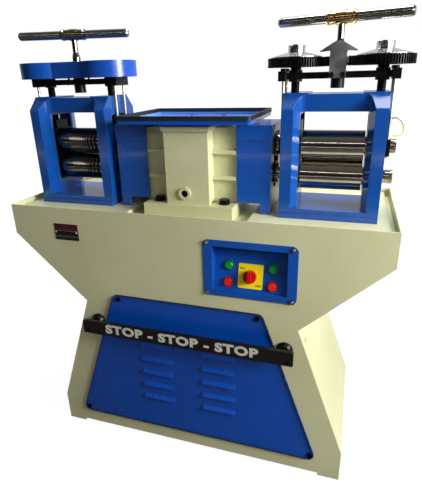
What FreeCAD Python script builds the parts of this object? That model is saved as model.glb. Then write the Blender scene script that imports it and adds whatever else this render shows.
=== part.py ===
# Powered double rolling mill for jewellers' sheet and wire.
# A sheet-steel cabinet with a waist carries a bench, a gearbox in the middle and two roll stands:
# wire rolls on the left, flat rolls on the right. A motor in the foot of the cabinet drives both pairs
# of rolls through belts and spur gears; a T-handle on each stand sets its roll gap through two screws.
#
# Millimetres. X runs to the operator's right, Y away from the operator, Z up from the floor.
# X = 0 is the middle of the machine, and Y = 0 the middle of its depth over everything.

import FreeCAD, Part
import Sketcher
import math
import os
import re

os.makedirs("parts", exist_ok=True)
doc = FreeCAD.newDocument("rolling_mill")

# ---------------------------------------------------------------------------------------------------
# Driving dimensions
# ---------------------------------------------------------------------------------------------------

SIZES = [
    # cabinet
    ("cab_width", 1050, "bench width over the sheet"),
    ("cab_depth", 410, "front sheet to rear sheet"),
    ("rim_z", 761, "top of the bench rim"),
    ("shoulder_z", 674, "bottom of the upright bench ends"),
    ("waist_width", 626, "narrowest width"),
    ("waist_z", 475, "height of the waist"),
    ("skirt_width", 896, "width at the foot"),
    ("skirt_z", 99, "top of the upright skirt"),
    ("wall", 3, "cabinet sheet"),
    ("foot_side", 60, "side of a foot plate"),
    ("foot_z", 5, "foot plate thickness"),
    ("anchor_hole", 14, "floor bolt hole"),
    ("shelf_z", 98, "top of the motor shelf"),
    ("shelf_plate", 8, "motor shelf thickness"),
    ("ledge_in", 22, "width of the ledge under the bench floor"),
    ("ledge_plate", 4, "ledge thickness"),
    ("stop_reach", 42, "front sheet to the face of the stop bar"),
    # bench
    ("bench_floor", 6, "floor plate thickness"),
    ("bed_plate", 14, "bed plate under a roll stand, thickness"),
    ("bed_top", 750, "top of the bed plates"),
    ("bed_inner", 169, "inner edge of a bed plate from the middle"),
    ("bed_gap", 14, "gap between bed plate and bench end"),
    # front door, louvres and rear cover
    ("door_top_width", 438, "door width at the top"),
    ("door_bottom_width", 764, "door width at the bottom"),
    ("door_top_z", 509, "top edge of the door"),
    ("door_bottom_z", 56, "bottom edge of the door"),
    ("door_sheet", 2, "door sheet"),
    ("door_lap", 22, "door overlap on the cabinet front"),
    ("door_round", 18, "corner radius of the door"),
    ("louvre_x", 95, "louvre column from the middle"),
    ("louvre_len", 100, "louvre length"),
    ("louvre_top_z", 352, "highest louvre"),
    ("louvre_pitch", 46, "louvre spacing"),
    ("louvre_out", 6, "how far a louvre stands out"),
    ("louvre_tall", 14, "louvre height"),
    ("rear_width", 480, "rear cover width"),
    ("rear_top_z", 470, "top edge of the rear cover"),
    ("screw_head", 14, "cover screw head diameter"),
    ("screw_head_z", 3.2, "cover screw head height"),
    ("screw_shank", 6, "cover screw diameter"),
    # stop bar
    ("bar_len", 616, "stop bar length"),
    ("bar_tall", 42, "stop bar height"),
    ("bar_thick", 10, "stop bar thickness"),
    ("bar_z", 413, "middle of the stop bar"),
    ("guide_x", 280, "plunger guide from the middle"),
    ("guide_dia", 44, "guide flange diameter"),
    ("guide_thick", 12, "guide flange thickness"),
    ("plunger_dia", 12, "plunger diameter"),
    ("stop_travel", 6, "stop bar travel"),
    # control panel
    ("panel_x", 183, "panel centre"),
    ("panel_z", 628, "panel centre"),
    ("panel_width", 245, "flange width"),
    ("panel_tall", 157, "flange height"),
    ("panel_round", 16, "flange corner radius"),
    ("panel_sheet", 2, "panel sheet"),
    ("mouth_width", 195, "width of the recess"),
    ("mouth_tall", 121, "height of the recess"),
    ("recess_foot", 8, "depth of the recess at its foot"),
    ("recess_head", 40, "depth of the recess at its head"),
    ("button_x", 58, "button from the switch"),
    ("button_low", 20, "lower buttons above the foot of the recess"),
    ("button_rise", 45, "upper buttons above the lower"),
    ("button_dia", 20, "button cap"),
    ("collar_dia", 28, "button collar"),
    ("button_travel", 3, "button travel"),
    ("switch_side", 65, "switch plate side"),
    ("switch_up", 40, "switch centre above the foot of the recess"),
    ("knob_dia", 34, "switch knob"),
    # name plate
    ("plate_x", -348, "name plate centre"),
    ("plate_z", 690, "name plate centre"),
    ("plate_width", 77, "name plate width"),
    ("plate_tall", 48, "name plate height"),
    ("plate_sheet", 1, "name plate sheet"),
    # roll stands
    ("mill_x", 358, "stand centre from the middle"),
    ("roll_back", 173, "roll axis behind the front sheet"),
    ("roll_dia", 74.6, "roll barrel diameter"),
    ("roll_len", 150, "roll barrel length"),
    ("roll_pitch", 75, "distance of the roll axes, closed"),
    ("flat_len", 40, "plain outboard length of a wire roll"),
    ("groove_land", 3, "land between wire grooves"),
    ("groove_first", 1.5, "width of the narrowest wire groove"),
    ("groove_step", 0.8, "each next wire groove is wider by this"),
    ("low_axis_z", 847, "lower roll axis"),
    ("neck_dia", 45, "roll neck diameter"),
    ("stub_dia", 34, "polished roll stub diameter"),
    ("stub_out", 27, "stub beyond the stand"),
    ("stand_width", 239, "stand width"),
    ("stand_depth", 170, "stand depth"),
    ("stand_top", 1047, "top of the stand"),
    ("window_width", 157, "width between the housings"),
    ("window_foot", 24, "thickness of the stand's foot"),
    ("window_flare", 15, "widening of the window towards each face, on each side"),
    ("beam_tall", 40, "height of the top beam"),
    ("chamfer_y", 32, "housing corner, depth"),
    ("chamfer_z", 32, "housing corner, height"),
    ("chock_slot", 90, "housing slot for the chocks"),
    ("cap_wide", 52, "thrust cap on an upper chock, depth"),
    ("cap_high", 25, "thrust cap height"),
    ("ear_thick", 12, "ear of an upper chock"),
    ("ear_tall", 40, "ear height"),
    ("slot_top", 1000, "top of the housing slot"),
    ("flange_out", 6, "foot flange beyond the housing"),
    ("flange_tall", 12, "foot flange height"),
    ("pad_wide", 58, "raised pad at each end of the stand's top"),
    ("pad_tall", 3, "pad height"),
    ("bolt_x", 55, "hold-down bolts either side of a stand's centre"),
    ("bolt_y", 64, "hold-down bolts either side of the roll axis"),
    ("bolt_dia", 12, "hold-down bolt of a stand"),
    ("tongue_end", 188, "drive tongue, from the stand's centre"),
    # screws, gears and bridge
    ("screw_dia", 20, "roll gap screw diameter"),
    ("gear_z", 1107, "underside of the gears"),
    ("gear_wide", 21, "gear width"),
    ("gear_module", 2, "gear module"),
    ("gear_teeth", 66, "teeth of a screw gear"),
    ("pinion_teeth", 34, "teeth of the handle pinion"),
    ("nut_dia", 40, "castle nut diameter"),
    ("nut_tall", 28, "castle nut height above the gear"),
    ("dial_dia", 122, "dial diameter"),
    ("dial_rim", 2, "dial rim height"),
    ("dial_rise", 10, "rise of the dial's cone"),
    ("cover_dia", 152, "lobe of the gear cover"),
    ("cover_z", 1098, "rim of the gear cover"),
    ("cover_tall", 42, "height of the gear cover"),
    ("cover_sheet", 3, "gear cover wall"),
    ("cover_waist", 112, "waist of the gear cover"),
    ("bracket_wide", 37, "pinion bracket width"),
    ("bracket_head", 82, "width of the bracket's gable"),
    ("bracket_top", 1160, "top of the bracket's gable"),
    ("bridge_z", 1080, "underside of the bridge"),
    ("bridge_thick", 15, "bridge thickness"),
    ("bridge_wide", 36, "bridge depth"),
    ("rod_dia", 7, "lifting rod diameter"),
    ("rod_gap", 24, "lifting rods either side of the roll axis"),
    ("end_drop", 4, "end block of the bridge below the bar"),
    ("end_rise", 4, "end block of the bridge above the bar"),
    # handle
    ("stem_dia", 22, "handle stem diameter in its bearings"),
    ("stem_neck", 15, "handle stem diameter under the hub"),
    ("bar_axis_z", 1210, "axis of the handle bar"),
    ("handle_len", 310, "handle bar length"),
    ("handle_dia", 22, "handle bar diameter"),
    ("hub_dia", 27, "handle hub diameter"),
    ("hub_len", 66, "length of the hub along the bar"),
    ("bead_dia", 30, "bead at each end of the hub"),
    ("right_turn", 15, "resting angle of the right handle"),
    ("left_turn", 14, "resting angle of the left handle"),
    # gearbox
    ("case_width", 120, "column width"),
    ("case_front", 68, "column behind the front sheet"),
    ("case_top", 976, "top of the column"),
    ("case_wall", 15, "column wall"),
    ("wing_reach", 130, "wing end from the middle"),
    ("wing_front", 112, "wing behind the front sheet"),
    ("wing_wall", 9, "wing wall"),
    ("plinth_reach", 125, "plinth end from the middle"),
    ("plinth_front", 55, "plinth behind the front sheet"),
    ("plinth_tall", 38, "plinth height"),
    ("sump_z", 660, "underside of the sump"),
    ("shaft_dia", 35, "drive shaft diameter"),
    ("lay_dia", 25, "input and intermediate shaft diameter"),
    ("bearing_wide", 14, "bearing width"),
    ("drive_module", 3, "module of the drive gears"),
    ("pair_teeth", 25, "teeth of the two drive pinions"),
    ("final_teeth", 38, "teeth of the final gear"),
    ("final_pinion", 14, "teeth of the final pinion"),
    ("first_module", 2, "module of the first gear pair"),
    ("first_teeth", 56, "teeth of the first gear"),
    ("first_pinion", 16, "teeth of the first pinion"),
    ("face_wide", 22, "face width of the drive gears"),
    ("port_z", 804, "oil level port height"),
    ("port_x", -7, "oil level port from the middle"),
    ("port_dia", 33, "oil level port diameter"),
    ("port_bore", 19, "oil level port bore"),
    ("cap_out", 5, "rim at the head of the column, beyond the column"),
    ("cap_tall", 12, "height of that rim"),
    ("case_bolt", 16, "hold-down bolt of the gearbox"),
    ("lid_thick", 8, "gearbox lid"),
    # tool tray
    ("tray_width", 352, "tray width"),
    ("tray_front", 36, "tray behind the front sheet"),
    ("tray_deep", 272, "tray depth"),
    ("tray_tall", 20, "tray height"),
    ("tray_sheet", 3, "tray sheet"),
    # coupling guards and couplings
    ("guard_inner", 126, "guard start from the middle"),
    ("guard_outer", 215, "guard end from the middle"),
    ("guard_front", 100, "guard behind the front sheet"),
    ("guard_foot", 28, "gap under the guard"),
    ("guard_lid", 35, "height of the guard lid band"),
    ("guard_sheet", 3, "guard sheet"),
    ("guard_leg", 27, "width of the guard leg"),
    ("sleeve_dia", 62, "coupling sleeve diameter"),
    ("sleeve_bore", 49, "coupling sleeve bore"),
    ("tongue_dia", 32, "drive tongue of a roll"),
    # motor and belts
    ("motor_dia", 176, "motor body diameter"),
    ("motor_len", 270, "motor body length"),
    ("motor_rise", 100, "motor shaft above its feet"),
    ("motor_shaft_dia", 24, "motor shaft diameter"),
    ("motor_pulley_dia", 50, "motor pulley, at the belts"),
    ("input_pulley_dia", 68, "input pulley, at the belts"),
    ("pulley_x", 85, "belt plane from the middle"),
    ("pulley_wide", 30, "pulley width"),
    ("belt_wide", 9, "belt width"),
    ("belt_thick", 6, "belt thickness"),
    # running clearances
    ("run_fit", 0.05, "radial clearance of a running fit"),
    ("move_gap", 0.3, "gap between pieces that move past each other"),
]

sheet = doc.addObject("Spreadsheet::Sheet", "Sizes")
for row, (alias, number, note) in enumerate(SIZES, 1):
    sheet.set(f"A{row}", note)
    sheet.set(f"B{row}", str(number))
    sheet.setAlias(f"B{row}", alias)
doc.recompute()

ALIASES = {alias for alias, number, note in SIZES}


def ex(text):
    """Turn size names into references to the sheet."""
    return re.sub(r"[a-z]\w*", lambda m: f"Sizes.{m[0]}" if m[0] in ALIASES else m[0], str(text))


def num(text):
    """The present value of an expression."""
    return float(sheet.evalExpression(ex(text)))


# Planes and axes that several pieces share
FRONT = "((stop_reach - cab_depth - door_sheet - louvre_out) / 2)"
REAR = f"({FRONT} + cab_depth)"
ROLL_Y = f"({FRONT} + roll_back)"
UP_AXIS_Z = "(low_axis_z + roll_pitch)"
FLOOR_TOP = "(bed_top - bed_plate)"
LEDGE_TOP = f"({FLOOR_TOP} - bench_floor)"
SCREW_X = "(gear_module * (gear_teeth + pinion_teeth) / 2)"
LAY_Z = "(low_axis_z - drive_module * (final_teeth + final_pinion) / 2)"
INPUT_Z = f"({LAY_Z} - first_module * (first_teeth + first_pinion) / 2)"
MOTOR_Z = "(shelf_z + motor_rise)"

# ---------------------------------------------------------------------------------------------------
# Small vocabulary of shapes
# ---------------------------------------------------------------------------------------------------

counts = {}


def new(kind, name):
    """A document object with a name of its own."""
    counts[name] = counts.get(name, 0) + 1
    obj = doc.addObject(kind, f"{name}_{counts[name]}")
    return obj


def place(obj, x=0, y=0, z=0):
    """Bind an object's place to the sheet."""
    for axis, text in (("x", x), ("y", y), ("z", z)):
        obj.setExpression(f"Placement.Base.{axis}", ex(text))
    return obj


def turn(obj, axis, angle):
    """Bind an object's turn about an axis, in degrees."""
    obj.Placement = FreeCAD.Placement(obj.Placement.Base, FreeCAD.Rotation(FreeCAD.Vector(*axis), 1))
    obj.setExpression("Placement.Rotation.Angle", ex(angle))
    return obj


def box(name, x0, x1, y0, y1, z0, z1):
    obj = new("Part::Box", name)
    for size, low, high in (("Length", x0, x1), ("Width", y0, y1), ("Height", z0, z1)):
        obj.setExpression(size, ex(f"({high}) - ({low})"))
    return place(obj, x0, y0, z0)


LYING = {"X": ((0, 1, 0), 90), "Y": ((1, 0, 0), -90), "Z": ((0, 0, 1), 0)}


def lay(obj, axis):
    """Lay an upright primitive along an axis."""
    direction, angle = LYING[axis]
    obj.Placement = FreeCAD.Placement(FreeCAD.Vector(), FreeCAD.Rotation(FreeCAD.Vector(*direction), angle))
    return obj


def rod(name, axis, x, y, z, diameter, length):
    """A cylinder that starts at a point and runs along an axis."""
    obj = lay(new("Part::Cylinder", name), axis)
    obj.setExpression("Radius", ex(f"({diameter}) / 2"))
    obj.setExpression("Height", ex(length))
    return place(obj, x, y, z)


def cone(name, axis, x, y, z, first, last, length):
    """A truncated cone, given by its first and last diameters."""
    obj = lay(new("Part::Cone", name), axis)
    obj.setExpression("Radius1", ex(f"({first}) / 2"))
    obj.setExpression("Radius2", ex(f"({last}) / 2"))
    obj.setExpression("Height", ex(length))
    return place(obj, x, y, z)


def join(name, pieces):
    obj = new("Part::MultiFuse", name)
    obj.Shapes = pieces
    obj.Refine = True
    return obj


def cut(name, base, tools):
    obj = new("Part::Cut", name)
    obj.Base = base
    obj.Tool = tools[0] if len(tools) == 1 else join(name + "_cuts", tools)
    obj.Refine = True
    return obj


def group(name, pieces):
    """Separate solids that belong to one node."""
    obj = new("Part::Compound", name)
    obj.Links = pieces
    return obj


PLANES = {"XZ": ("XZ_Plane", -1, True), "YZ": ("YZ_Plane", 1, False), "XY": ("XY_Plane", 1, False)}


def plate(name, plane, start, thickness, points, rounds=()):
    """A padded sketch: an outline of expression pairs, thickened along +Y, +X or +Z from start.

    rounds gives (radius, corner numbers), for corners that are rounded.
    """
    role, sign, reverse = PLANES[plane]
    body = new("PartDesign::Body", name)
    sketch = new("Sketcher::SketchObject", name + "_outline")
    body.addObject(sketch)
    support = [item for item in body.Origin.OriginFeatures if item.Role == role][0]
    sketch.AttachmentSupport = (support, [""])
    sketch.MapMode = "FlatFace"
    sketch.setExpression("AttachmentOffset.Base.z", ex(f"{sign} * ({start})"))
    corners = [(num(a), num(b)) for a, b in points]
    for (a, b), (c, d) in zip(corners, corners[1:] + corners[:1]):
        sketch.addGeometry(Part.LineSegment(FreeCAD.Vector(a, b, 0), FreeCAD.Vector(c, d, 0)), False)
    for i in range(len(corners)):
        sketch.addConstraint(Sketcher.Constraint("Coincident", i, 2, (i + 1) % len(corners), 1))
    for i, pair in enumerate(points):
        for kind, text, value in zip(("DistanceX", "DistanceY"), pair, corners[i]):
            k = sketch.addConstraint(Sketcher.Constraint(kind, -1, 1, i, 1, value))
            sketch.setExpression(f"Constraints[{k}]", ex(text))
    pad = new("PartDesign::Pad", name + "_pad")
    body.addObject(pad)
    pad.Profile = sketch
    pad.Reversed = reverse
    pad.setExpression("Length", ex(thickness))
    for radius, chosen in rounds:
        doc.recompute()
        edges = corner_edges(body.Tip.Shape, plane, [corners[i] for i in chosen])
        fillet = new("PartDesign::Fillet", name + "_round")
        body.addObject(fillet)
        fillet.Base = (fillet.BaseFeature, edges)
        fillet.setExpression("Radius", ex(radius))
        body.Tip = fillet
    return body


def corner_edges(shape, plane, corners):
    """Names of the edges that stand on given corners of an outline."""
    names = []
    for i, edge in enumerate(shape.Edges, 1):
        ends = [v.Point for v in edge.Vertexes]
        flat = [{"XZ": (p.x, p.z), "YZ": (p.y, p.z), "XY": (p.x, p.y)}[plane] for p in ends]
        for a, b in corners:
            if len(flat) == 2 and all(math.hypot(p[0] - a, p[1] - b) < 0.01 for p in flat):
                names.append(f"Edge{i}")
    return names


def rectangle(a0, a1, b0, b1):
    return [(a0, b0), (a1, b0), (a1, b1), (a0, b1)]


def mirrored(s, a, b):
    """Lowest and highest X of a span on side s, given by its ends measured from the middle."""
    return sorted((f"{s} * ({a})", f"{s} * ({b})"), key=num)


nodes = []


def node(obj, label):
    """Name a finished sub-part."""
    obj.Label = label
    nodes.append(obj)
    return obj


# ---------------------------------------------------------------------------------------------------
# Cabinet: one welding of bent sheet, with a door hole, a panel hole, a shelf and a ledge
# ---------------------------------------------------------------------------------------------------


def hourglass(inset, top, foot):
    """Half outlines of the cabinet mirrored about the middle, drawn in by a sheet thickness."""
    right = [
        (f"skirt_width / 2 - {inset}", foot),
        (f"skirt_width / 2 - {inset}", "skirt_z"),
        (f"waist_width / 2 - {inset}", "waist_z"),
        (f"cab_width / 2 - {inset}", f"shoulder_z + {inset}"),
        (f"cab_width / 2 - {inset}", top),
    ]
    return right + [(f"-({x})", z) for x, z in reversed(right)]


def door_outline(inset):
    """Corners of the front door, or of the hole behind it."""
    return [
        (f"-door_bottom_width / 2 + {inset}", f"door_bottom_z + {inset}"),
        (f"door_bottom_width / 2 - {inset}", f"door_bottom_z + {inset}"),
        (f"door_top_width / 2 - {inset}", f"door_top_z - {inset}"),
        (f"-door_top_width / 2 + {inset}", f"door_top_z - {inset}"),
    ]


DOOR_SCREWS = [
    ("door_top_width / 2 - 14", "door_top_z - 14"),
    ("14 - door_top_width / 2", "door_top_z - 14"),
    ("door_bottom_width / 2 - 20", "door_bottom_z + 14"),
    ("20 - door_bottom_width / 2", "door_bottom_z + 14"),
]
REAR_FOOT = "door_bottom_z"
REAR_SCREWS = [(f"{s} * (rear_width / 2 - 12)", z) for s in (1, -1) for z in ("rear_top_z - 12", f"{REAR_FOOT} + 12")]

cab_outer = plate("cab_outer", "XZ", FRONT, "cab_depth", hourglass("0", "rim_z", "foot_z"))
cab_inner = plate("cab_inner", "XZ", f"{FRONT} + wall", "cab_depth - 2 * wall",
                  hourglass("wall", f"{LEDGE_TOP} - ledge_plate", "foot_z - 1"))
ledge_hole = box("ledge_hole", "ledge_in + wall - cab_width / 2", "cab_width / 2 - wall - ledge_in",
                 f"{FRONT} + wall + ledge_in", f"{REAR} - wall - ledge_in",
                 f"{LEDGE_TOP} - ledge_plate - 1", f"{LEDGE_TOP} + 1")
bench_well = box("bench_well", "wall - cab_width / 2", "cab_width / 2 - wall",
                 f"{FRONT} + wall", f"{REAR} - wall", LEDGE_TOP, "rim_z + 1")
door_hole = plate("door_hole", "XZ", f"{FRONT} - 1", "wall + 2", door_outline("door_lap"))
rear_hole = box("rear_hole", "door_lap - rear_width / 2", "rear_width / 2 - door_lap",
                f"{REAR} - wall - 1", f"{REAR} + 1", f"{REAR_FOOT} + door_lap", "rear_top_z - door_lap")
panel_hole = box("panel_hole", "panel_x - mouth_width / 2 - panel_sheet - 0.5",
                 "panel_x + mouth_width / 2 + panel_sheet + 0.5", f"{FRONT} - 1", f"{FRONT} + wall + 1",
                 "panel_z - mouth_tall / 2 - panel_sheet - 0.5", "panel_z + mouth_tall / 2 + panel_sheet + 0.5")
screw_holes = [rod("cover_hole", "Y", x, f"{FRONT} - 1", z, "screw_shank", "wall + 2") for x, z in DOOR_SCREWS]
screw_holes += [rod("cover_hole", "Y", x, f"{REAR} - wall - 1", z, "screw_shank", "wall + 2")
                for x, z in REAR_SCREWS]
plunger_holes = [rod("plunger_hole", "Y", f"{s} * guide_x", f"{FRONT} - 1", "bar_z", "plunger_dia + 4", "wall + 2")
                 for s in (1, -1)]
PANEL_SCREWS = [(f"panel_x + {sx} * (panel_width / 2 - 11)", f"panel_z + {sz} * (panel_tall / 2 - 8)")
                for sx in (1, -1) for sz in (1, -1)]
panel_screw_holes = [rod("panel_screw_hole", "Y", x, f"{FRONT} - 1", z, "screw_shank", "wall + 2")
                     for x, z in PANEL_SCREWS]
side_holes = [rod("side_hole", "X", f"{x} * waist_width / 2 - 40", f"{FRONT} + 34", "waist_z - 48", "12", "80")
              for x in (1, -1)]
cab_skin = cut("cab_skin", cab_outer, [cab_inner, ledge_hole, bench_well, door_hole, rear_hole, panel_hole]
               + screw_holes + plunger_holes + panel_screw_holes + side_holes)
skirt_clear = box("skirt_clear", "foot_side - skirt_width / 2", "skirt_width / 2 - foot_side",
                  f"{FRONT} - 1", f"{REAR} + 1", 0, "foot_z + 4")
shelf = box("shelf", "wall / 2 - skirt_width / 2", "skirt_width / 2 - wall / 2", f"{FRONT} + wall / 2",
            f"{REAR} - wall / 2", "shelf_z - shelf_plate", "shelf_z")
cab_body = cut("cab_body", join("cab_with_shelf", [cab_skin, shelf]), [skirt_clear])
node(cab_body, "cabinet_shell")

FEET = [(sx, sy) for sx in (1, -1) for sy in (1, -1)]
foot_plates = []
for sx, sy in FEET:
    x0 = "skirt_width / 2 - foot_side" if sx > 0 else "-skirt_width / 2"
    y0 = f"{REAR} - foot_side" if sy > 0 else FRONT
    pad = box("foot", x0, f"{x0} + foot_side", y0, f"{y0} + foot_side", 0, "foot_z")
    hole = rod("foot_hole", "Z", f"{x0} + foot_side / 2", f"{y0} + foot_side / 2", -1, "anchor_hole", "foot_z + 2")
    foot_plates.append(cut("foot_plate", pad, [hole]))
node(group("foot_group", foot_plates), "foot_plates")

# Bench: a floor plate on the ledge, slotted over the input pulley, and a thick bed plate under each roll stand


def stand_bolts(s):
    """Centres of the four bolts that hold a roll stand."""
    return [(f"{s} * mill_x + {a} * bolt_x", f"{ROLL_Y} + {b} * bolt_y") for a in (1, -1) for b in (1, -1)]


def bolt_holes(name, centres, z, thickness, size="bolt_dia"):
    return [rod(name, "Z", x, y, f"{z} - 1", size, f"{thickness} + 2") for x, y in centres]


CASE_BOLTS = [(f"{a} * (plinth_reach - 32)", f"{ROLL_Y} + {b} * (roll_back - plinth_front - 40)")
              for a in (1, -1) for b in (1, -1)]
ALL_BOLTS = [(x, y, "case_bolt") for x, y in CASE_BOLTS]
ALL_BOLTS += [(x, y, "bolt_dia") for x, y in stand_bolts(1) + stand_bolts(-1)]
SUMP_FRONT = f"({FRONT} + case_front + 12)"
SUMP_REAR = f"(2 * {ROLL_Y} - {SUMP_FRONT})"
sump_hole = box("sump_hole", "-case_width / 2 - 1", "case_width / 2 + 1", f"{SUMP_FRONT} - 1",
                f"{SUMP_REAR} + 1", f"{LEDGE_TOP} - 1", f"{FLOOR_TOP} + 1")
pulley_slot = box("pulley_slot", "pulley_x - pulley_wide / 2 - 3", "pulley_x + pulley_wide / 2 + 3", f"{ROLL_Y} - 48",
                  f"{ROLL_Y} + 48", f"{LEDGE_TOP} - 1", f"{FLOOR_TOP} + 1")
floor_plate = cut("bench_floor", box("bench_sheet", "wall + 1 - cab_width / 2", "cab_width / 2 - wall - 1",
                                     f"{FRONT} + wall + 1", f"{REAR} - wall - 1", LEDGE_TOP, FLOOR_TOP),
                  [sump_hole, pulley_slot] + bolt_holes("floor_hole", stand_bolts(1) + stand_bolts(-1), LEDGE_TOP, "bench_floor")
                  + bolt_holes("floor_hole", CASE_BOLTS, LEDGE_TOP, "bench_floor", "case_bolt"))
bench = [floor_plate]
for s in (1, -1):
    low, high = ("bed_inner", "cab_width / 2 - wall - bed_gap")
    if s < 0:
        low, high = f"-({high})", f"-({low})"
    bed = box("bed", low, high, f"{FRONT} + wall + 4", f"{REAR} - wall - 4", FLOOR_TOP, "bed_top")
    bench.append(cut("bed_drilled", bed, bolt_holes("bed_hole", stand_bolts(s), FLOOR_TOP, "bed_plate")))
node(group("bench_group", bench), "bench_plates")

# ---------------------------------------------------------------------------------------------------
# Front door and rear cover, with pressed louvres
# ---------------------------------------------------------------------------------------------------

LOUVRES = [(s, k) for s in (1, -1) for k in range(5)]


def louvre_places(face, out):
    """Hoods and slots of the louvres; out is -1 towards the operator and 1 towards the rear."""
    hoods, slots = [], []
    for s, k in LOUVRES:
        x0 = f"{s} * louvre_x - louvre_len / 2"
        top = f"louvre_top_z - {k} * louvre_pitch + louvre_tall / 2"
        tip = f"{face} + {out} * louvre_out"
        lip = f"{face} + {out} * (louvre_out - 1.5)"
        hoods.append(plate("hood", "YZ", x0, "louvre_len",
                           [(face, top), (tip, f"{top} - louvre_tall + 3"), (tip, f"{top} - louvre_tall"),
                            (lip, f"{top} - louvre_tall"), (lip, f"{top} - louvre_tall + 3"),
                            (face, f"{top} - 3")]))
        slots.append((x0, top))
    return hoods, slots


hoods, slots = louvre_places(f"({FRONT} - door_sheet)", -1)
door_sheet = plate("door_panel", "XZ", f"{FRONT} - door_sheet", "door_sheet", door_outline("0"),
                   [("door_round", (0, 1, 2, 3))])
door_cuts = [box("slot", f"{x} + 2", f"{x} + louvre_len - 2", f"{FRONT} - door_sheet - 1", f"{FRONT} + 1",
                 f"{top} - louvre_tall + 1", f"{top} - 5") for x, top in slots]
door_cuts += [rod("door_hole", "Y", x, f"{FRONT} - door_sheet - 1", z, "screw_shank", "door_sheet + 2")
              for x, z in DOOR_SCREWS]
door_cuts += [rod("door_pass", "Y", f"{s} * guide_x", f"{FRONT} - door_sheet - 1", "bar_z",
                  "guide_dia + 2", "door_sheet + 2") for s in (1, -1)]
node(join("door_join", [cut("door_cut", door_sheet, door_cuts)] + hoods), "front_door")

hoods, slots = louvre_places(f"({REAR} + door_sheet)", 1)
rear_sheet = plate("rear_panel", "XZ", REAR, "door_sheet",
                   rectangle("-rear_width / 2", "rear_width / 2", REAR_FOOT, "rear_top_z"),
                   [("door_round / 2", (0, 1, 2, 3))])
rear_cuts = [box("slot", f"{x} + 2", f"{x} + louvre_len - 2", f"{REAR} - 1", f"{REAR} + door_sheet + 1",
                 f"{top} - louvre_tall + 1", f"{top} - 5") for x, top in slots]
rear_cuts += [rod("rear_screw_hole", "Y", x, f"{REAR} - 1", z, "screw_shank", "door_sheet + 2")
              for x, z in REAR_SCREWS]
node(join("rear_join", [cut("rear_cut", rear_sheet, rear_cuts)] + hoods), "rear_cover")

# ---------------------------------------------------------------------------------------------------
# Stop bar: a bar across the front on two sprung plungers that run in flanged guides
# ---------------------------------------------------------------------------------------------------

BAR_BACK = f"({FRONT} - stop_reach + bar_thick)"
bar = [plate("bar_strip", "XZ", f"{FRONT} - stop_reach", "bar_thick",
             rectangle("-bar_len / 2", "bar_len / 2", "bar_z - bar_tall / 2", "bar_z + bar_tall / 2"),
             [("4", (0, 1, 2, 3))])]
guides = []
for s in (1, -1):
    x = f"{s} * guide_x"
    bar.append(rod("plunger", "Y", x, BAR_BACK, "bar_z", "plunger_dia", f"{FRONT} + 20 - {BAR_BACK}"))
    bar.append(rod("plunger_stop", "Y", x, f"{FRONT} + wall + move_gap", "bar_z", "plunger_dia + 10", 4))
    guide = join("guide", [rod("guide_flange", "Y", x, f"{FRONT} - 4", "bar_z", "guide_dia", 4),
                           cone("guide_nose", "Y", x, f"{FRONT} - guide_thick", "bar_z", "guide_dia - 14",
                                "guide_dia - 4", "guide_thick - 4"),
                           rod("guide_neck", "Y", x, FRONT, "bar_z", "plunger_dia + 4", "wall")])
    guides.append(cut("guide_bored", guide, [rod("guide_bore", "Y", x, f"{FRONT} - guide_thick - 1", "bar_z",
                                                 "plunger_dia + 2 * run_fit", "guide_thick + wall + 2")]))
node(join("stop_bar_join", bar), "stop_bar")
node(group("guide_group", guides), "stop_bar_guides")

# Limit switch behind the right-hand plunger, on a bracket from the front sheet
switch_front = f"({FRONT} + 34)"
limit_switch = join("limit_switch", [
    box("limit_box", "guide_x - 18", "guide_x + 18", switch_front, f"{switch_front} + 30", "bar_z - 26", "bar_z + 26"),
    rod("limit_nib", "Y", "guide_x", f"{switch_front} - 7", "bar_z", 8, 8),
    box("limit_arm", "guide_x + 18", "guide_x + 21", f"{FRONT} + wall", f"{switch_front} + 30",
        "bar_z - 18", "bar_z + 18")])
node(limit_switch, "stop_switch")

# ---------------------------------------------------------------------------------------------------
# Control panel: a pressed pan with a sloping floor, four push buttons and a rotary switch
# ---------------------------------------------------------------------------------------------------

MOUTH_FOOT = "(panel_z - mouth_tall / 2)"
MOUTH_HEAD = "(panel_z + mouth_tall / 2)"
SLOPE = "atan((recess_head - recess_foot) / mouth_tall)"
SLOPE_LONG = "(sqrt((recess_head - recess_foot)^2 + mouth_tall^2))"


def sloped(obj):
    """Stand a piece on the sloping floor; its own X, Y, Z are along, into and up the floor."""
    return place(turn(obj, (1, 0, 0), f"-{SLOPE}"), "panel_x", f"{FRONT} + recess_foot", MOUTH_FOOT)


BUTTONS = [("left_start_button", -1, 1), ("left_stop_button", -1, 0),
           ("right_start_button", 1, 1), ("right_stop_button", 1, 0)]
MOUTH_LOW_X = "panel_x - mouth_width / 2"
pan_outer = plate("pan_outer", "YZ", f"{MOUTH_LOW_X} - panel_sheet", "mouth_width + 2 * panel_sheet",
                  [(f"{FRONT} - 1", f"{MOUTH_FOOT} - panel_sheet"),
                   (f"{FRONT} + recess_foot + panel_sheet", f"{MOUTH_FOOT} - panel_sheet"),
                   (f"{FRONT} + recess_head + panel_sheet", f"{MOUTH_HEAD} + panel_sheet"),
                   (f"{FRONT} - 1", f"{MOUTH_HEAD} + panel_sheet")])
pan_inner = plate("pan_inner", "YZ", MOUTH_LOW_X, "mouth_width",
                  [(f"{FRONT} - 5", MOUTH_FOOT), (f"{FRONT} + recess_foot", MOUTH_FOOT),
                   (f"{FRONT} + recess_head", MOUTH_HEAD), (f"{FRONT} - 5", MOUTH_HEAD)])
flange = plate("pan_flange", "XZ", f"{FRONT} - panel_sheet", "panel_sheet",
               rectangle("panel_x - panel_width / 2", "panel_x + panel_width / 2",
                         "panel_z - panel_tall / 2", "panel_z + panel_tall / 2"),
               [("panel_round", (0, 1, 2, 3))])
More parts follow.
